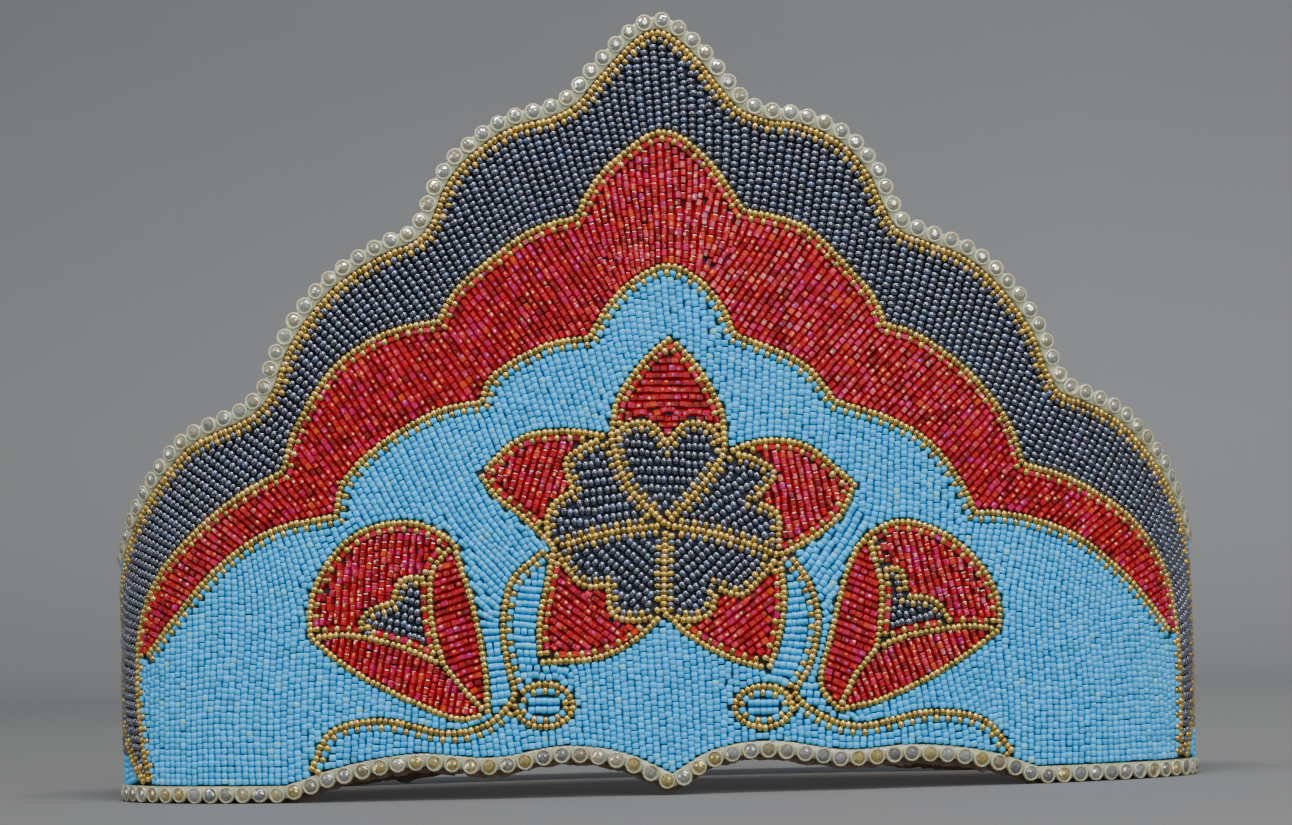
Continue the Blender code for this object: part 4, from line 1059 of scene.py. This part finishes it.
def suede_finish(colour):
    """Brown suede: mottled nap with fine fibre bump and a soft sheen."""
    made, tree, shader = new_material("brown_suede", 0.92, 0.0, 0.2)
    blotch = surface_noise(tree, 60, 5)
    fibre = surface_noise(tree, 1800, 4)
    tone = mix_colour(tree, blotch.outputs["Fac"], lighter(colour, 0.7), lighter(colour, 1.5))
    tone = mix_colour(tree, 0.5, tone, fibre.outputs["Fac"], "OVERLAY")
    tree.links.new(tone, shader.inputs["Base Color"])
    shader.inputs["Sheen Weight"].default_value = 0.35
    shader.inputs["Sheen Roughness"].default_value = 0.5
    bump(tree, shader, fibre.outputs["Fac"], 0.6, 0.0004)
    return made


def thread_finish():
    """Waxed sewing thread, tan."""
    made, tree, shader = new_material("waxed_thread", 0.6)
    noise = surface_noise(tree, 2600)
    tone = mix_colour(tree, noise.outputs["Fac"], (0.42, 0.34, 0.22), (0.62, 0.54, 0.4))
    tree.links.new(tone, shader.inputs["Base Color"])
    return made


FINISHES = {
    "blue": blue_finish, "navy": navy_finish, "red": red_finish, "gold": gold_finish,
    "milk": milk_finish, "suede": suede_finish,
}


def finish(kind):
    """The material of a kind, made when it is first asked for."""
    label = "tiara_" + kind
    if label not in bpy.data.materials:
        if kind in FINISHES:
            made = FINISHES[kind](tuple(getattr(bpy.context.scene.tiara_finish, kind)))
        else:
            made = {"stone": stone_finish, "thread": thread_finish, "felt": gap_shade_finish}[kind]()
        made.name = label
    return bpy.data.materials[label]


def settle(made, kind, nodes=()):
    """Give a piece its material and slot, let it ride on the ring and stand for its nodes."""
    made.data.materials.append(finish(kind))
    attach(made, "root")
    if nodes:
        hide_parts(*nodes)
    return made


def sizes(kind):
    """Row step, bead step, and the bead's length and half width, of a kind, in millimetres."""
    beads = bpy.context.scene.tiara_beads
    width, pitch = getattr(beads, kind + "_width") / MM, getattr(beads, kind + "_pitch") / MM
    length, broad = FILLING[kind]
    return width, pitch, pitch * length, width * broad / 2


def string_beads(name, kind, beads, nodes=(), rings=None):
    """One piece of beads of a kind on the bent sheet, with their small differences."""
    setting = bpy.context.scene.tiara_beads
    rng = np.random.default_rng(setting.seed + sum(map(ord, name)))
    _, _, length, half = sizes(kind)
    shape = turned(rings or (SQUARE_BEAD if kind in ("blue", "red") else ROUND_BEAD), SIDES[kind])
    face = GOLD_FACE if kind == "gold" else BEAD_FACE
    wobble = [setting.unevenness * most for most in BEAD_WOBBLE]
    made = scatter(name, shape, beads, face - half, (length, half, half), kind != "red", rng, wobble)
    return settle(made, kind, nodes)


def longer(line, low, high):
    """The line with a straight stretch added at its start and at its end, in millimetres."""
    first, last = line[0] - line[1], line[-1] - line[-2]
    return np.vstack([line[:1] + low * first / np.linalg.norm(first), line,
                      line[-1:] + high * last / np.linalg.norm(last)])


def paired_rows(line, outward, closed=False):
    """Rows of a double gold line: the outer row, and the inner row's gold and coloured beads."""
    _, pitch, _, _ = sizes("gold")
    outer = steps_along(beside(line, outward * ROW_APART, closed), pitch, closed)
    inner = steps_along(beside(line, -outward * ROW_APART, closed), pitch * INNER_STEP, closed)
    return outer, inner[::2], inner[1::2]


def line_rows(name):
    """The paired rows of one of the front's three lines."""
    rows, reach = LINES[name]
    return paired_rows(longer(path(rows), reach, reach), 1)


def inner_row(line, inward, closed=False):
    """A row inside a single gold line: its gold beads and its coloured beads."""
    _, pitch, _, _ = sizes("gold")
    row = steps_along(beside(line, inward * INNER_ROW, closed), pitch * INNER_STEP, closed)
    return row[::2], row[1::2]


def margins(kind):
    """How far the middle of a field's bead stays from a double line, a single line and an inner row."""
    width, pitch, _, _ = sizes(kind)
    gold = sizes("gold")[0] / 2
    reach = gold + ROW_SHARE * min(width, pitch)
    return ROW_APART + reach, reach, INNER_ROW + reach


def flower_lines():
    """Each petal's edge and notched heart edge, and the closed outlines of tip and heart."""
    lines = {}
    for name, (first, rows, last) in PETALS.items():
        edge = path(rows, JOINS[first], JOINS[last])
        notch = path(HEART_EDGES[name], JOINS[first], JOINS[last])
        spoke_in = path([(*SPOKE_BENDS[first], 0)], HEART_OF_FLOWER, JOINS[first])
        spoke_out = path([(*SPOKE_BENDS[last], 0)], JOINS[last], HEART_OF_FLOWER)
        lines[name] = {
            "edge": edge, "notch": notch, "spoke": spoke_in,
            "tip": loop_of(edge, notch[::-1]), "heart": loop_of(spoke_in, notch, spoke_out),
        }
    return lines


def flower_rim():
    """The closed outline of the whole flower."""
    return loop_of(*(parts["edge"] for parts in flower_lines().values()))


def bud_lines(side):
    """The lines of a bud and the closed outlines of its lobes and heart."""
    shape = BUDS[side]
    lines = {
        "side_rim": path(shape["side_rim"], shape["tip"], shape["mouth"]),
        "top_rim": path(shape["top_rim"], shape["mouth"], shape["corner"]),
        "low_rim": path(shape["low_rim"], shape["corner"], shape["tip"]),
        "vein": path(shape["vein"], shape["mouth"], shape["fork"]),
        "stalk": path(shape["stalk"], shape["fork"], shape["tip"]),
        "fold": path(shape["fold"], shape["corner"], shape["fork"]),
    }
    start, rows, end = shape["heart"]
    heart = path(rows, start, end)
    vein, fold = lines["vein"], lines["fold"]
    vein_cut = int(np.argmin(np.linalg.norm(vein - heart[-1], axis=1)))
    fold_cut = int(np.argmin(np.linalg.norm(fold - heart[0], axis=1)))
    heart[0], heart[-1] = fold[fold_cut], vein[vein_cut]
    lines["heart_line"] = heart
    loops = {
        "side_lobe": loop_of(lines["side_rim"], vein, lines["stalk"]),
        "low_lobe": loop_of(fold, lines["stalk"], lines["low_rim"][::-1]),
        "top_lobe": loop_of(lines["top_rim"], fold[:fold_cut + 1], heart, vein[:vein_cut + 1][::-1]),
        "heart": loop_of(heart, vein[vein_cut:], fold[fold_cut:][::-1]),
    }
    rim = loop_of(lines["side_rim"], lines["top_rim"], lines["low_rim"])
    return lines, loops, rim


def bud_rows(side):
    """A bud's gold beads, and the coloured beads of its inner rows: red and navy."""
    lines, _, _ = bud_lines(side)
    inward = BUDS[side]["inward"]
    _, pitch, _, _ = sizes("gold")
    gold = [steps_along(line, pitch) for line in lines.values()]
    red = []
    for label, turn in (("top_rim", 1), ("vein", -1), ("fold", 1)):
        bright, coloured = inner_row(lines[label], inward * turn)
        gold.append(bright)
        red.append(coloured)
    bright, navy = inner_row(lines["heart_line"], -inward)
    gold.append(bright)
    return apart(np.vstack(gold), [], GOLD_APART), np.vstack(red), navy


def flower_rows():
    """The flower's gold beads, and each petal's red and navy beads of its inner rows."""
    _, pitch, _, _ = sizes("gold")
    lines = flower_lines()
    gold = [steps_along(parts[label], pitch) for label in ("edge", "spoke", "notch")
            for parts in lines.values()]
    coloured = {}
    for name, parts in lines.items():
        tip_gold, tip_red = inner_row(parts["edge"], -1)
        heart_gold, heart_navy = inner_row(parts["heart"], 1, True)
        gold += [tip_gold, heart_gold]
        coloured[name] = (tip_red, heart_navy)
    return apart(np.vstack(gold), [], GOLD_APART), coloured


def stem_rows(side):
    """A stem's gold beads with its loop's, and the blue beads between them."""
    shape = STEMS[side]
    line = longer(path(shape["path"]), STEM_START, STEM_REACH)
    outer, inner, blue = paired_rows(line, shape["outward"])
    centre_s, centre_z, radius_s, radius_z = shape["loop"]
    loop = ellipse(centre_s, centre_z, radius_s, radius_z)
    loop_outer, loop_inner, loop_blue = paired_rows(loop, -1, True)
    steps = LOOP_STEP * np.arange(-2, 3)
    middle = np.array([(centre_s + step, centre_z + level, 0, 1)
                       for level in (-LOOP_LEVEL, LOOP_LEVEL) for step in steps])
    gold = apart(np.vstack([outer, loop_outer, inner, loop_inner]), [], GOLD_APART)
    return gold, np.vstack([blue, loop_blue, middle])


def between_stems():
    """The closed outline between the two stems, from the flower's heart down past the hem."""
    left, right = path(STEMS["left"]["path"]), path(STEMS["right"]["path"])
    drop = np.array([[0, -20.0]])
    return loop_of(left, left[-1:] + drop, right[-1:] + drop, right[::-1], np.array([HEART_OF_FLOWER]))


def hem_piece():
    """The middle of the front's lower banding."""
    return path(HEM_LINE)


def back_limits():
    """Edges of the back's fields: the outer gold line's two limbs, the top and hem, and all as one."""
    outer = path(OUTER_LINE)
    middle = len(outer) // 2
    low = outer[:, 1] < BACK_TOP
    right = outer[middle:][low[middle:]][::-1]
    left = outer[:middle][low[:middle]] + [RING, 0]
    top, hem = back_line(BACK_TOP, BACK_DIP), back_hem()
    return right, left, top, hem, loop_of(hem[:1], right, top, left[::-1], hem[::-1])


def sheet_wall(name, along, low, high, depths, rng, rows):
    """A wall of leather, or of the dark sheet of painted shade under the beads, with a rough cut lower
    edge.

    At each distance round the ring the section is a thin upright loop: out along the face from the
    lower edge to the upper one, over it, and back down inside. The lower edge wanders by noise
    that is a running mean of random numbers plus the numbers themselves. The faces swell by a
    running mean too, and near each edge both draw in by a bell curve of the distance from it.
    """
    share = np.linspace(0, 1, rows) ** ROW_CROWDING
    rough = np.convolve(rng.standard_normal(len(along) + 4), np.ones(3) / 3, mode="same")[2:-2]
    fine = rng.standard_normal(len(along))
    low = np.maximum(low + (EDGE_ROUGH * rough + EDGE_FINE * fine) * (low > ROUGH_FROM), 0.0)
    height = low[:, None] + (high - low)[:, None] * share[None]
    inner, outer = depths
    belly = BELLY * np.convolve(rng.standard_normal(len(along) + 8), np.ones(9) / 9, mode="same")[4:-4]
    rounding = sum(depth * np.exp(-(away / reach) ** 2) for away, (depth, reach) in
                   ((height - low[:, None], LOW_ROUNDING), (high[:, None] - height, HIGH_ROUNDING)))
    front = outer - rounding + belly[:, None]
    behind = inner + rounding + belly[:, None]
    z = np.concatenate([height, height[:, ::-1]], axis=1)
    n = np.concatenate([front, behind[:, ::-1]], axis=1)
    points, faces = swept(bend(along[:, None], z, n)[:, ::-1])
    return build_mesh(name, points, faces, True)


def web(line, inward):
    """The banding's flat strip: a rounded section of eight points carried along the line.

    It reaches from a little outside the settings' middle to the beads.
    """
    half = bpy.context.scene.tiara_banding.web_half / MM
    dense = steps_along(line, WEB_STEP)
    ends = np.array([[*line[0], *dense[0, 2:]], [*line[-1], *dense[-1, 2:]]])
    dense = np.vstack([ends[:1], dense, ends[1:]])
    near, far = WEB_FRONT - WEB_ROUND, WEB_BACK + WEB_ROUND
    section = np.array([(-half, far), (-half, near), (-half + WEB_ROUND, WEB_FRONT),
                        (WEB_OUT - WEB_ROUND, WEB_FRONT), (WEB_OUT, near), (WEB_OUT, far),
                        (WEB_OUT - WEB_ROUND, WEB_BACK), (-half + WEB_ROUND, WEB_BACK)])
    if inward > 0:
        section = section[::-1] * [-1, 1]
    across = section[None, :, 0]
    s = dense[:, :1] - np.sin(dense[:, 2:3]) * across
    z = np.maximum(dense[:, 1:2] + np.cos(dense[:, 2:3]) * across, 0.02)
    points, (corners, totals) = swept(bend(s, z, section[None, :, 1]))
    return points, corners, totals


def join_parts(parts):
    """Points and faces of several parts as one."""
    points, corners, totals, moved = [], [], [], 0
    for part_points, part_corners, part_totals in parts:
        points.append(part_points)
        corners.append(part_corners + moved)
        totals.append(part_totals)
        moved += len(part_points)
    return np.vstack(points), (np.concatenate(corners), np.concatenate(totals))


def band(name, line, inward):
    """A length of rhinestone banding: the strip with its settings, and its stones."""
    setting = bpy.context.scene.tiara_banding
    rng = np.random.default_rng(sum(map(ord, name)))
    places = steps_along(line, setting.stone_step / MM)
    cup = turned(SETTING, SETTING_SIDES, out=True)
    cups = scatter(name + "_cups", cup, places, 0.0, (1, 1, 1), True, rng, CUP_WOBBLE)
    cup_points = np.empty(len(cups.data.vertices) * 3)
    cups.data.vertices.foreach_get("co", cup_points)
    bpy.data.objects.remove(cups)
    corners, totals = repeated(cup, len(places))
    points, faces = join_parts([web(line, inward), (cup_points.reshape(-1, 3), corners, totals)])
    points[:, 2] = np.maximum(points[:, 2], 0)
    settle(build_mesh(name + "_strip", points, faces, True), "milk", [name])
    stone = turned(STONE, STONE_SIDES, out=True)
    stones = scatter(name + "_stones", stone, places, 0.0, (1, 1, 1), False, rng, STONE_WOBBLE)
    settle(stones, "stone")


class TIARA_OT_backing(bpy.types.Operator):
    """Lay the suede walls of the front and the back"""

    bl_idname = "tiara.backing"
    bl_label = "Suede backing"

    def execute(self, context):
        rng = np.random.default_rng(BACKING_SEED)
        crown = beside(top_line(), -LEATHER_UNDER_BAND)
        crown[:, 0] = np.maximum.accumulate(crown[:, 0])
        for side, start, columns, top, hem in (
                ("front", -SIDE, FRONT_COLUMNS, crown, hem_piece()),
                ("back", SIDE, BACK_COLUMNS, back_line(BACK_TOP, BACK_DIP), back_hem())):
            along = np.linspace(start + SEAM_GAP / 2, start + 2 * SIDE - SEAM_GAP / 2, columns)
            hem = hem - [0, BAND_HALF + LEATHER_BELOW_BAND]
            low = np.maximum(np.interp(along, hem[:, 0], hem[:, 1]), 0)
            high = np.interp(along, top[:, 0], top[:, 1])
            suede = sheet_wall(side + "_suede", along, low, high, LEATHER_DEPTHS, rng, SUEDE_ROWS)
            settle(suede, "suede", [side + "_backing"])
            # A dark sheet under the beads: painted shade for the gaps between them
            shade_sheet = sheet_wall(side + "_lining", along, low + SHADE_SHEET_ABOVE, high - SHADE_SHEET_BELOW,
                                SHADE_SHEET_DEPTHS, rng, SHADE_SHEET_ROWS)
            settle(shade_sheet, "felt")
        return {"FINISHED"}


class TIARA_OT_gold_lines(bpy.types.Operator):
    """String the double gold lines that edge the fields"""

    bl_idname = "tiara.gold_lines"
    bl_label = "Gold lines"

    def execute(self, context):
        kept = []
        for name in LINES:
            beads = apart(np.vstack(line_rows(name)[:2]), kept, GOLD_APART)
            kept += list(beads)
            string_beads(name + "_gold_line_beads", "gold", beads, [name + "_gold_line"])
        return {"FINISHED"}


def field(name, kind, patch, threads, extra=(), avoid=(), shape=None):
    """Fill a patch with beads of a kind, with the coloured beads of the rows beside it."""
    width, pitch, _, _ = sizes(kind)
    beads = fill(patch, threads, width, pitch)
    extra = np.vstack(extra) if len(extra) else np.empty((0, 4))
    if len(avoid):
        extra = apart(extra, list(np.vstack(avoid)), GOLD_APART)
    beads = np.vstack([extra, beads]) if len(extra) else beads
    return string_beads(name + "_beads", kind, beads, [name], shape)


class TIARA_OT_fields(bpy.types.Operator):
    """Fill the navy, red and blue fields of the front"""

    bl_idname = "tiara.fields"
    bl_label = "Front fields"

    def execute(self, context):
        outer, red, blue, hem = path(OUTER_LINE), path(RED_LINE), path(BLUE_LINE), hem_piece()
        double, _, _ = margins("navy")
        patch = Patch(loop_of(outer, red[::-1])).keep_off(outer, double).keep_off(red, double)
        floor = 2 * BAND_HALF + NAVY_OFF_BAND
        patch.cells &= patch.z[:, None] > floor
        gold = [row for name in LINES for row in line_rows(name)[:2]]
        coloured = {name: line_rows(name)[2] for name in LINES}
        below = coloured["red"][:, 1] < np.where(coloured["red"][:, 0] < 0, blue[0, 1], blue[-1, 1])
        field("navy_field", "navy", patch, THREADS["navy"], [coloured["outer"]], avoid=gold)
        first = int(np.argmin(np.linalg.norm(red - blue[0], axis=1)))
        last = int(np.argmin(np.linalg.norm(red - blue[-1], axis=1)))
        double, _, _ = margins("red")
        patch = Patch(loop_of(red[first:last + 1], blue[::-1])).keep_off(red, double).keep_off(blue, double)
        field("red_field", "red", patch, THREADS["red"], [coloured["red"][~below]], avoid=gold)
        double, single, _ = margins("blue")
        floor = clip_along(hem, red[0, 0], red[-1, 0])
        patch = Patch(loop_of(red[:first + 1], blue, red[last:], floor[::-1]))
        patch.keep_off(red, double).keep_off(blue, double).keep_off(hem, BAND_HALF + BLUE_OFF_BAND)
        rim = flower_rim()
        rims = [rim] + [bud_lines(side)[2] for side in BUDS]
        for closed in rims:
            patch.cut(closed).keep_off(np.vstack([closed, closed[:1]]), single)
        middle = between_stems()
        apron = Patch(middle)
        patch.cut(middle)
        apron.cut(rim).keep_off(np.vstack([rim, rim[:1]]), single)
        apron.keep_off(hem, BAND_HALF + BLUE_OFF_BAND)
        apron.cut(loop_of(hem, [[SIDE, -30], [-SIDE, -30]]))
        blue_rows = []
        for side, shape in STEMS.items():
            line = path(shape["path"])
            patch.keep_off(line, double)
            apron.keep_off(line, double)
            loop = ellipse(*shape["loop"][:2], shape["loop"][2] + double, shape["loop"][3] + double)
            apron.cut(loop)
            patch.cut(loop)
            blue_rows.append(stem_rows(side)[1])
        beside_blue = [coloured["blue"], coloured["red"][below], np.array(BLUE_CORNERS)]
        field("blue_field", "blue", patch, THREADS["blue"], beside_blue, avoid=gold)
        gold = [stem_rows(side)[0] for side in STEMS]
        field("blue_apron", "blue", apron, THREADS["apron"], blue_rows, avoid=gold)
        return {"FINISHED"}


class TIARA_OT_flower(bpy.types.Operator):
    """String the flower: gold net, red petal tips and navy hearts"""

    bl_idname = "tiara.flower"
    bl_label = "Flower"

    def execute(self, context):
        gold, coloured = flower_rows()
        string_beads("flower_gold_net_beads", "gold", gold, ["flower_gold_net"])
        for name, parts in flower_lines().items():
            tip_angle, heart_angle = PETAL_THREADS[name]
            _, single, inner = margins("red")
            patch = Patch(parts["tip"]).keep_off(parts["edge"], inner).keep_off(parts["notch"], single)
            field(name + "_red", "red", patch, [(0, 0, tip_angle)], [coloured[name][0]], avoid=[gold])
            _, _, inner = margins("navy")
            closed = np.vstack([parts["heart"], parts["heart"][:1]])
            patch = Patch(parts["heart"]).keep_off(closed, inner)
            field(name + "_heart", "navy", patch, [(0, 0, heart_angle)], [coloured[name][1]], avoid=[gold])
        return {"FINISHED"}


class TIARA_OT_buds(bpy.types.Operator):
    """String the two buds: gold nets, red lobes and navy hearts"""

    bl_idname = "tiara.buds"
    bl_label = "Buds"

    def execute(self, context):
        for side, shape in BUDS.items():
            gold, red_row, navy_row = bud_rows(side)
            string_beads(side + "_bud_gold_net_beads", "gold", gold, [side + "_bud_gold_net"])
            lines, loops, _ = bud_lines(side)
            _, single, inner = margins("red")
            _, _, navy_inner = margins("navy")
            for lobe, loop in loops.items():
                name, angle = f"{side}_bud_{lobe}", shape["threads"][lobe]
                patch = Patch(loop)
                if lobe == "heart":
                    for label in ("heart_line", "vein", "fold"):
                        patch.keep_off(lines[label], navy_inner)
                    field(name, "navy", patch, [(0, 0, angle)], [navy_row], avoid=[gold])
                    continue
                near = ("top_rim", "vein", "fold") if lobe == "top_lobe" else ()
                for label, line in lines.items():
                    patch.keep_off(line, inner if label in near else single)
                field(name, "red", patch, [(0, 0, angle)], [red_row] if near else (), avoid=[gold])
        return {"FINISHED"}


class TIARA_OT_stems(bpy.types.Operator):
    """String the two gold stems with their loops"""

    bl_idname = "tiara.stems"
    bl_label = "Stems"

    def execute(self, context):
        flower = list(flower_rows()[0])
        for side in STEMS:
            gold = apart(stem_rows(side)[0], flower, GOLD_APART)
            string_beads(side + "_stem_beads", "gold", gold, [side + "_stem"])
        return {"FINISHED"}


class TIARA_OT_back_fields(bpy.types.Operator):
    """Fill the low back with blue beads and one navy stripe"""

    bl_idname = "tiara.back_fields"
    bl_label = "Back fields"

    def execute(self, context):
        right, left, top, hem, outline = back_limits()
        for name, kind, low, high in (("back_blue_low", "blue", 0, STRIPE_LOW),
                                      ("back_navy_stripe", "navy", STRIPE_LOW, STRIPE_HIGH),
                                      ("back_blue_high", "blue", STRIPE_HIGH, BACK_TOP + 2)):
            double, _, _ = margins(kind)
            reach = sizes(kind)[1] / 2
            patch = Patch(outline).keep_off(right, double).keep_off(left, double)
            patch.keep_off(top, BAND_HALF + TOP_OFF_BAND).keep_off(hem, BAND_HALF + BLUE_OFF_BAND)
            heights = patch.z[:, None]
            patch.cells &= (heights > low + reach * (low > 0)) & (heights < high - reach)
            field(name, kind, patch, THREADS["back"], shape=BARREL_BEAD)
        return {"FINISHED"}


class TIARA_OT_banding(bpy.types.Operator):
    """Sew the rhinestone banding along the edges"""

    bl_idname = "tiara.banding"
    bl_label = "Rhinestone banding"

    def execute(self, context):
        front, back = (-SIDE + SEAM_GAP, SIDE - SEAM_GAP), (SIDE + SEAM_GAP, 3 * SIDE - SEAM_GAP)
        band("top_banding_front", top_line(), -1)
        band("hem_banding_front", clip_along(hem_piece(), *front), 1)
        band("top_banding_back", clip_along(back_line(BACK_TOP, BACK_DIP), *back), -1)
        band("hem_banding_back", clip_along(back_hem(), *back), 1)
        return {"FINISHED"}


class TIARA_OT_stitches(bpy.types.Operator):
    """Sew the banding through the suede and join the side seams"""

    bl_idname = "tiara.stitches"
    bl_label = "Stitches"

    def execute(self, context):
        rng = np.random.default_rng(STITCH_SEED)
        step = context.scene.tiara_banding.stone_step / MM
        limit = SIDE - HEM_STITCH_END
        lines = [beside(top_line(), -TOP_STITCH_DROP),
                 clip_along(hem_piece() + [0, HEM_STITCH_RISE], -limit, limit),
                 back_line(BACK_TOP - BACK_STITCH_DROP, BACK_DIP), back_hem() + [0, HEM_STITCH_RISE]]
        inside = np.vstack([steps_along(line, step) for line in lines])
        heights = np.arange(SEAM_STITCH_EDGE, BACK_TOP - SEAM_STITCH_EDGE, SEAM_STITCH_STEP)
        one = np.ones(len(heights))
        seams = np.vstack([np.column_stack([edge * one, heights, lean * one, one])
                           for edge in (-SIDE, SIDE) for lean in SEAM_LEANS])
        for name, places, sink, size, wobble in (
                ("inner_stitches", inside, BAND_STITCH_SINK, BAND_STITCH, STITCH_WOBBLE),
                ("side_seam_stitches", seams, SEAM_STITCH_SINK, SEAM_STITCH, SEAM_WOBBLE)):
            made = scatter(name, turned(STITCH, STITCH_SIDES), places, LEATHER_DEPTHS[0] - sink, size,
                           True, rng, wobble)
            settle(made, "thread")
        return {"FINISHED"}


def look(position, azimuth, tilt, roll):
    """A camera's matrix: forward turned by azimuth from +Y to +X, tilted up, then rolled about itself."""
    forward = Vector((math.sin(azimuth), math.cos(azimuth), 0))
    right = Vector((forward.y, -forward.x, 0))
    up = Vector((0, 0, 1))
    ahead = forward * math.cos(tilt) + up * math.sin(tilt)
    over = up * math.cos(tilt) - forward * math.sin(tilt)
    across = right * math.cos(roll) + over * math.sin(roll)
    above = over * math.cos(roll) - right * math.sin(roll)
    return Matrix((across, above, -ahead)).transposed().to_4x4(), Vector(position)


def soft_light(name, place, aim, size, power, colour):
    """A rectangular area light that faces a point."""
    light = bpy.data.lights.new(name, "AREA")
    light.shape = "RECTANGLE"
    light.size, light.size_y = size
    light.energy = power
    light.color = colour
    made = bpy.data.objects.new(name, light)
    made.location = place
    made.rotation_euler = (Vector(aim) - Vector(place)).to_track_quat("-Z", "Y").to_euler()
    bpy.context.scene.collection.objects.link(made)


def paper_finish(grey):
    """Studio paper with painted shade: darker on the floor in front and at the far left, paler towards the
    wall.
    """
    made, tree, shader = new_material("studio_paper", 0.75, 0.0, 0.25)
    noise = surface_noise(tree, 14, 6)
    tone = mix_colour(tree, noise.outputs["Fac"], (grey * 0.95, grey * 0.95, grey * 0.97),
                      (grey * 1.05, grey * 1.05, grey * 1.07))
    place, split = tree.nodes.new("ShaderNodeTexCoord"), tree.nodes.new("ShaderNodeSeparateXYZ")
    tree.links.new(place.outputs["Object"], split.inputs["Vector"])
    # Painted light and shade on the floor: darker near the camera, paler further back towards the wall
    away = ranged(tree, split.outputs["Y"], -0.1, 1.2)
    ground = mix_colour(tree, away, (grey * 0.68,) * 3, (grey * 1.3,) * 3)
    tone = mix_colour(tree, height_share(tree, 0.15, 0.6), ground, tone)
    # Painted shade: the paper darkens towards the far left
    side = ranged(tree, split.outputs["X"], -0.4, 0.35, 0.2, 0.0)
    tone = mix_colour(tree, side, tone, (0.0, 0.0, 0.0))
    tree.links.new(tone, shader.inputs["Base Color"])
    bump(tree, shader, surface_noise(tree, 420, 4).outputs["Fac"], 0.1, 0.0006)
    return made


class TIARA_OT_stage(bpy.types.Operator):
    """Set the paper backdrop, the soft lights and the camera"""

    bl_idname = "tiara.stage"
    bl_label = "Stage"

    def execute(self, context):
        setting = context.scene.tiara_stage
        wall = setting.wall_distance
        turn = np.linspace(0, math.pi / 2, BEND_STEPS)
        y = np.concatenate([[-PAPER_REACH], wall - PAPER_BEND + PAPER_BEND * np.sin(turn), [wall]])
        z = np.concatenate([[0.0], PAPER_BEND - PAPER_BEND * np.cos(turn), [PAPER_TOP]])
        x = np.linspace(-PAPER_REACH, PAPER_REACH, PAPER_COLUMNS)
        points = np.stack(np.broadcast_arrays(x[None], y[:, None], z[:, None]), axis=-1).reshape(-1, 3)
        k, j = np.meshgrid(np.arange(len(y) - 1), np.arange(len(x) - 1), indexing="ij")
        corner = k * len(x) + j
        quads = np.stack([corner, corner + 1, corner + len(x) + 1, corner + len(x)], axis=-1)
        floor = build_mesh("paper_backdrop", points, (quads.reshape(-1), np.full(quads.size // 4, 4)), True)
        floor.data.materials.append(paper_finish(setting.grey))
        for name, values in LIGHTS.items():
            soft_light(name, *values)
        world = bpy.data.worlds.new("studio_air")
        world.use_nodes = True
        background = world.node_tree.nodes["Background"]
        background.inputs["Color"].default_value = AIR_COLOUR
        background.inputs["Strength"].default_value = AIR_STRENGTH
        context.scene.world = world
        distance = setting.camera_distance
        place = (-distance * math.sin(CAMERA_FROM), -distance * math.cos(CAMERA_FROM),
                 setting.camera_height)
        turned_to, spot = look(place, CAMERA_FROM - CAMERA_PAN, CAMERA_TILT, CAMERA_ROLL)
        lens = bpy.data.cameras.new("camera")
        lens.sensor_fit = "HORIZONTAL"
        lens.angle = CAMERA_VIEW
        camera = bpy.data.objects.new("camera", lens)
        camera.matrix_world = Matrix.Translation(spot) @ turned_to
        context.scene.collection.objects.link(camera)
        context.scene.camera = camera
        return {"FINISHED"}


PIECE_OPERATORS = (
    TIARA_OT_backing, TIARA_OT_gold_lines, TIARA_OT_fields, TIARA_OT_flower, TIARA_OT_buds,
    TIARA_OT_stems, TIARA_OT_back_fields, TIARA_OT_banding, TIARA_OT_stitches, TIARA_OT_stage,
)


class TIARA_PT_panel(bpy.types.Panel):
    """Lists the tiara's operators and settings"""

    bl_idname = "TIARA_PT_panel"
    bl_label = "Beaded Tiara"
    bl_space_type = "VIEW_3D"
    bl_region_type = "UI"
    bl_category = "Tiara"

    def draw(self, context):
        column = self.layout.column(align=True)
        for operator in PIECE_OPERATORS:
            column.operator(operator.bl_idname)
        for group in SETTINGS:
            box = self.layout.box()
            for label in SETTINGS[group].__annotations__:
                box.prop(getattr(context.scene, group), label)


SETTINGS = {
    "tiara_beads": TiaraBeads, "tiara_finish": TiaraFinish, "tiara_banding": TiaraBanding,
    "tiara_stage": TiaraStage,
}
CLASSES = (*SETTINGS.values(), *PIECE_OPERATORS, TIARA_PT_panel)


def register():
    """Register the classes and hang the settings on the scene."""
    for item in CLASSES:
        bpy.utils.register_class(item)
    for label, group in SETTINGS.items():
        setattr(bpy.types.Scene, label, PointerProperty(type=group))


def unregister():
    """Take the settings and the classes away again."""
    for label in SETTINGS:
        delattr(bpy.types.Scene, label)
    for item in reversed(CLASSES):
        bpy.utils.unregister_class(item)


def main():
    """Make every piece in order."""
    register()
    for operator in PIECE_OPERATORS:
        group, name = operator.bl_idname.split(".")
        getattr(getattr(bpy.ops, group), name)()


if __name__ == "__main__":
    main()
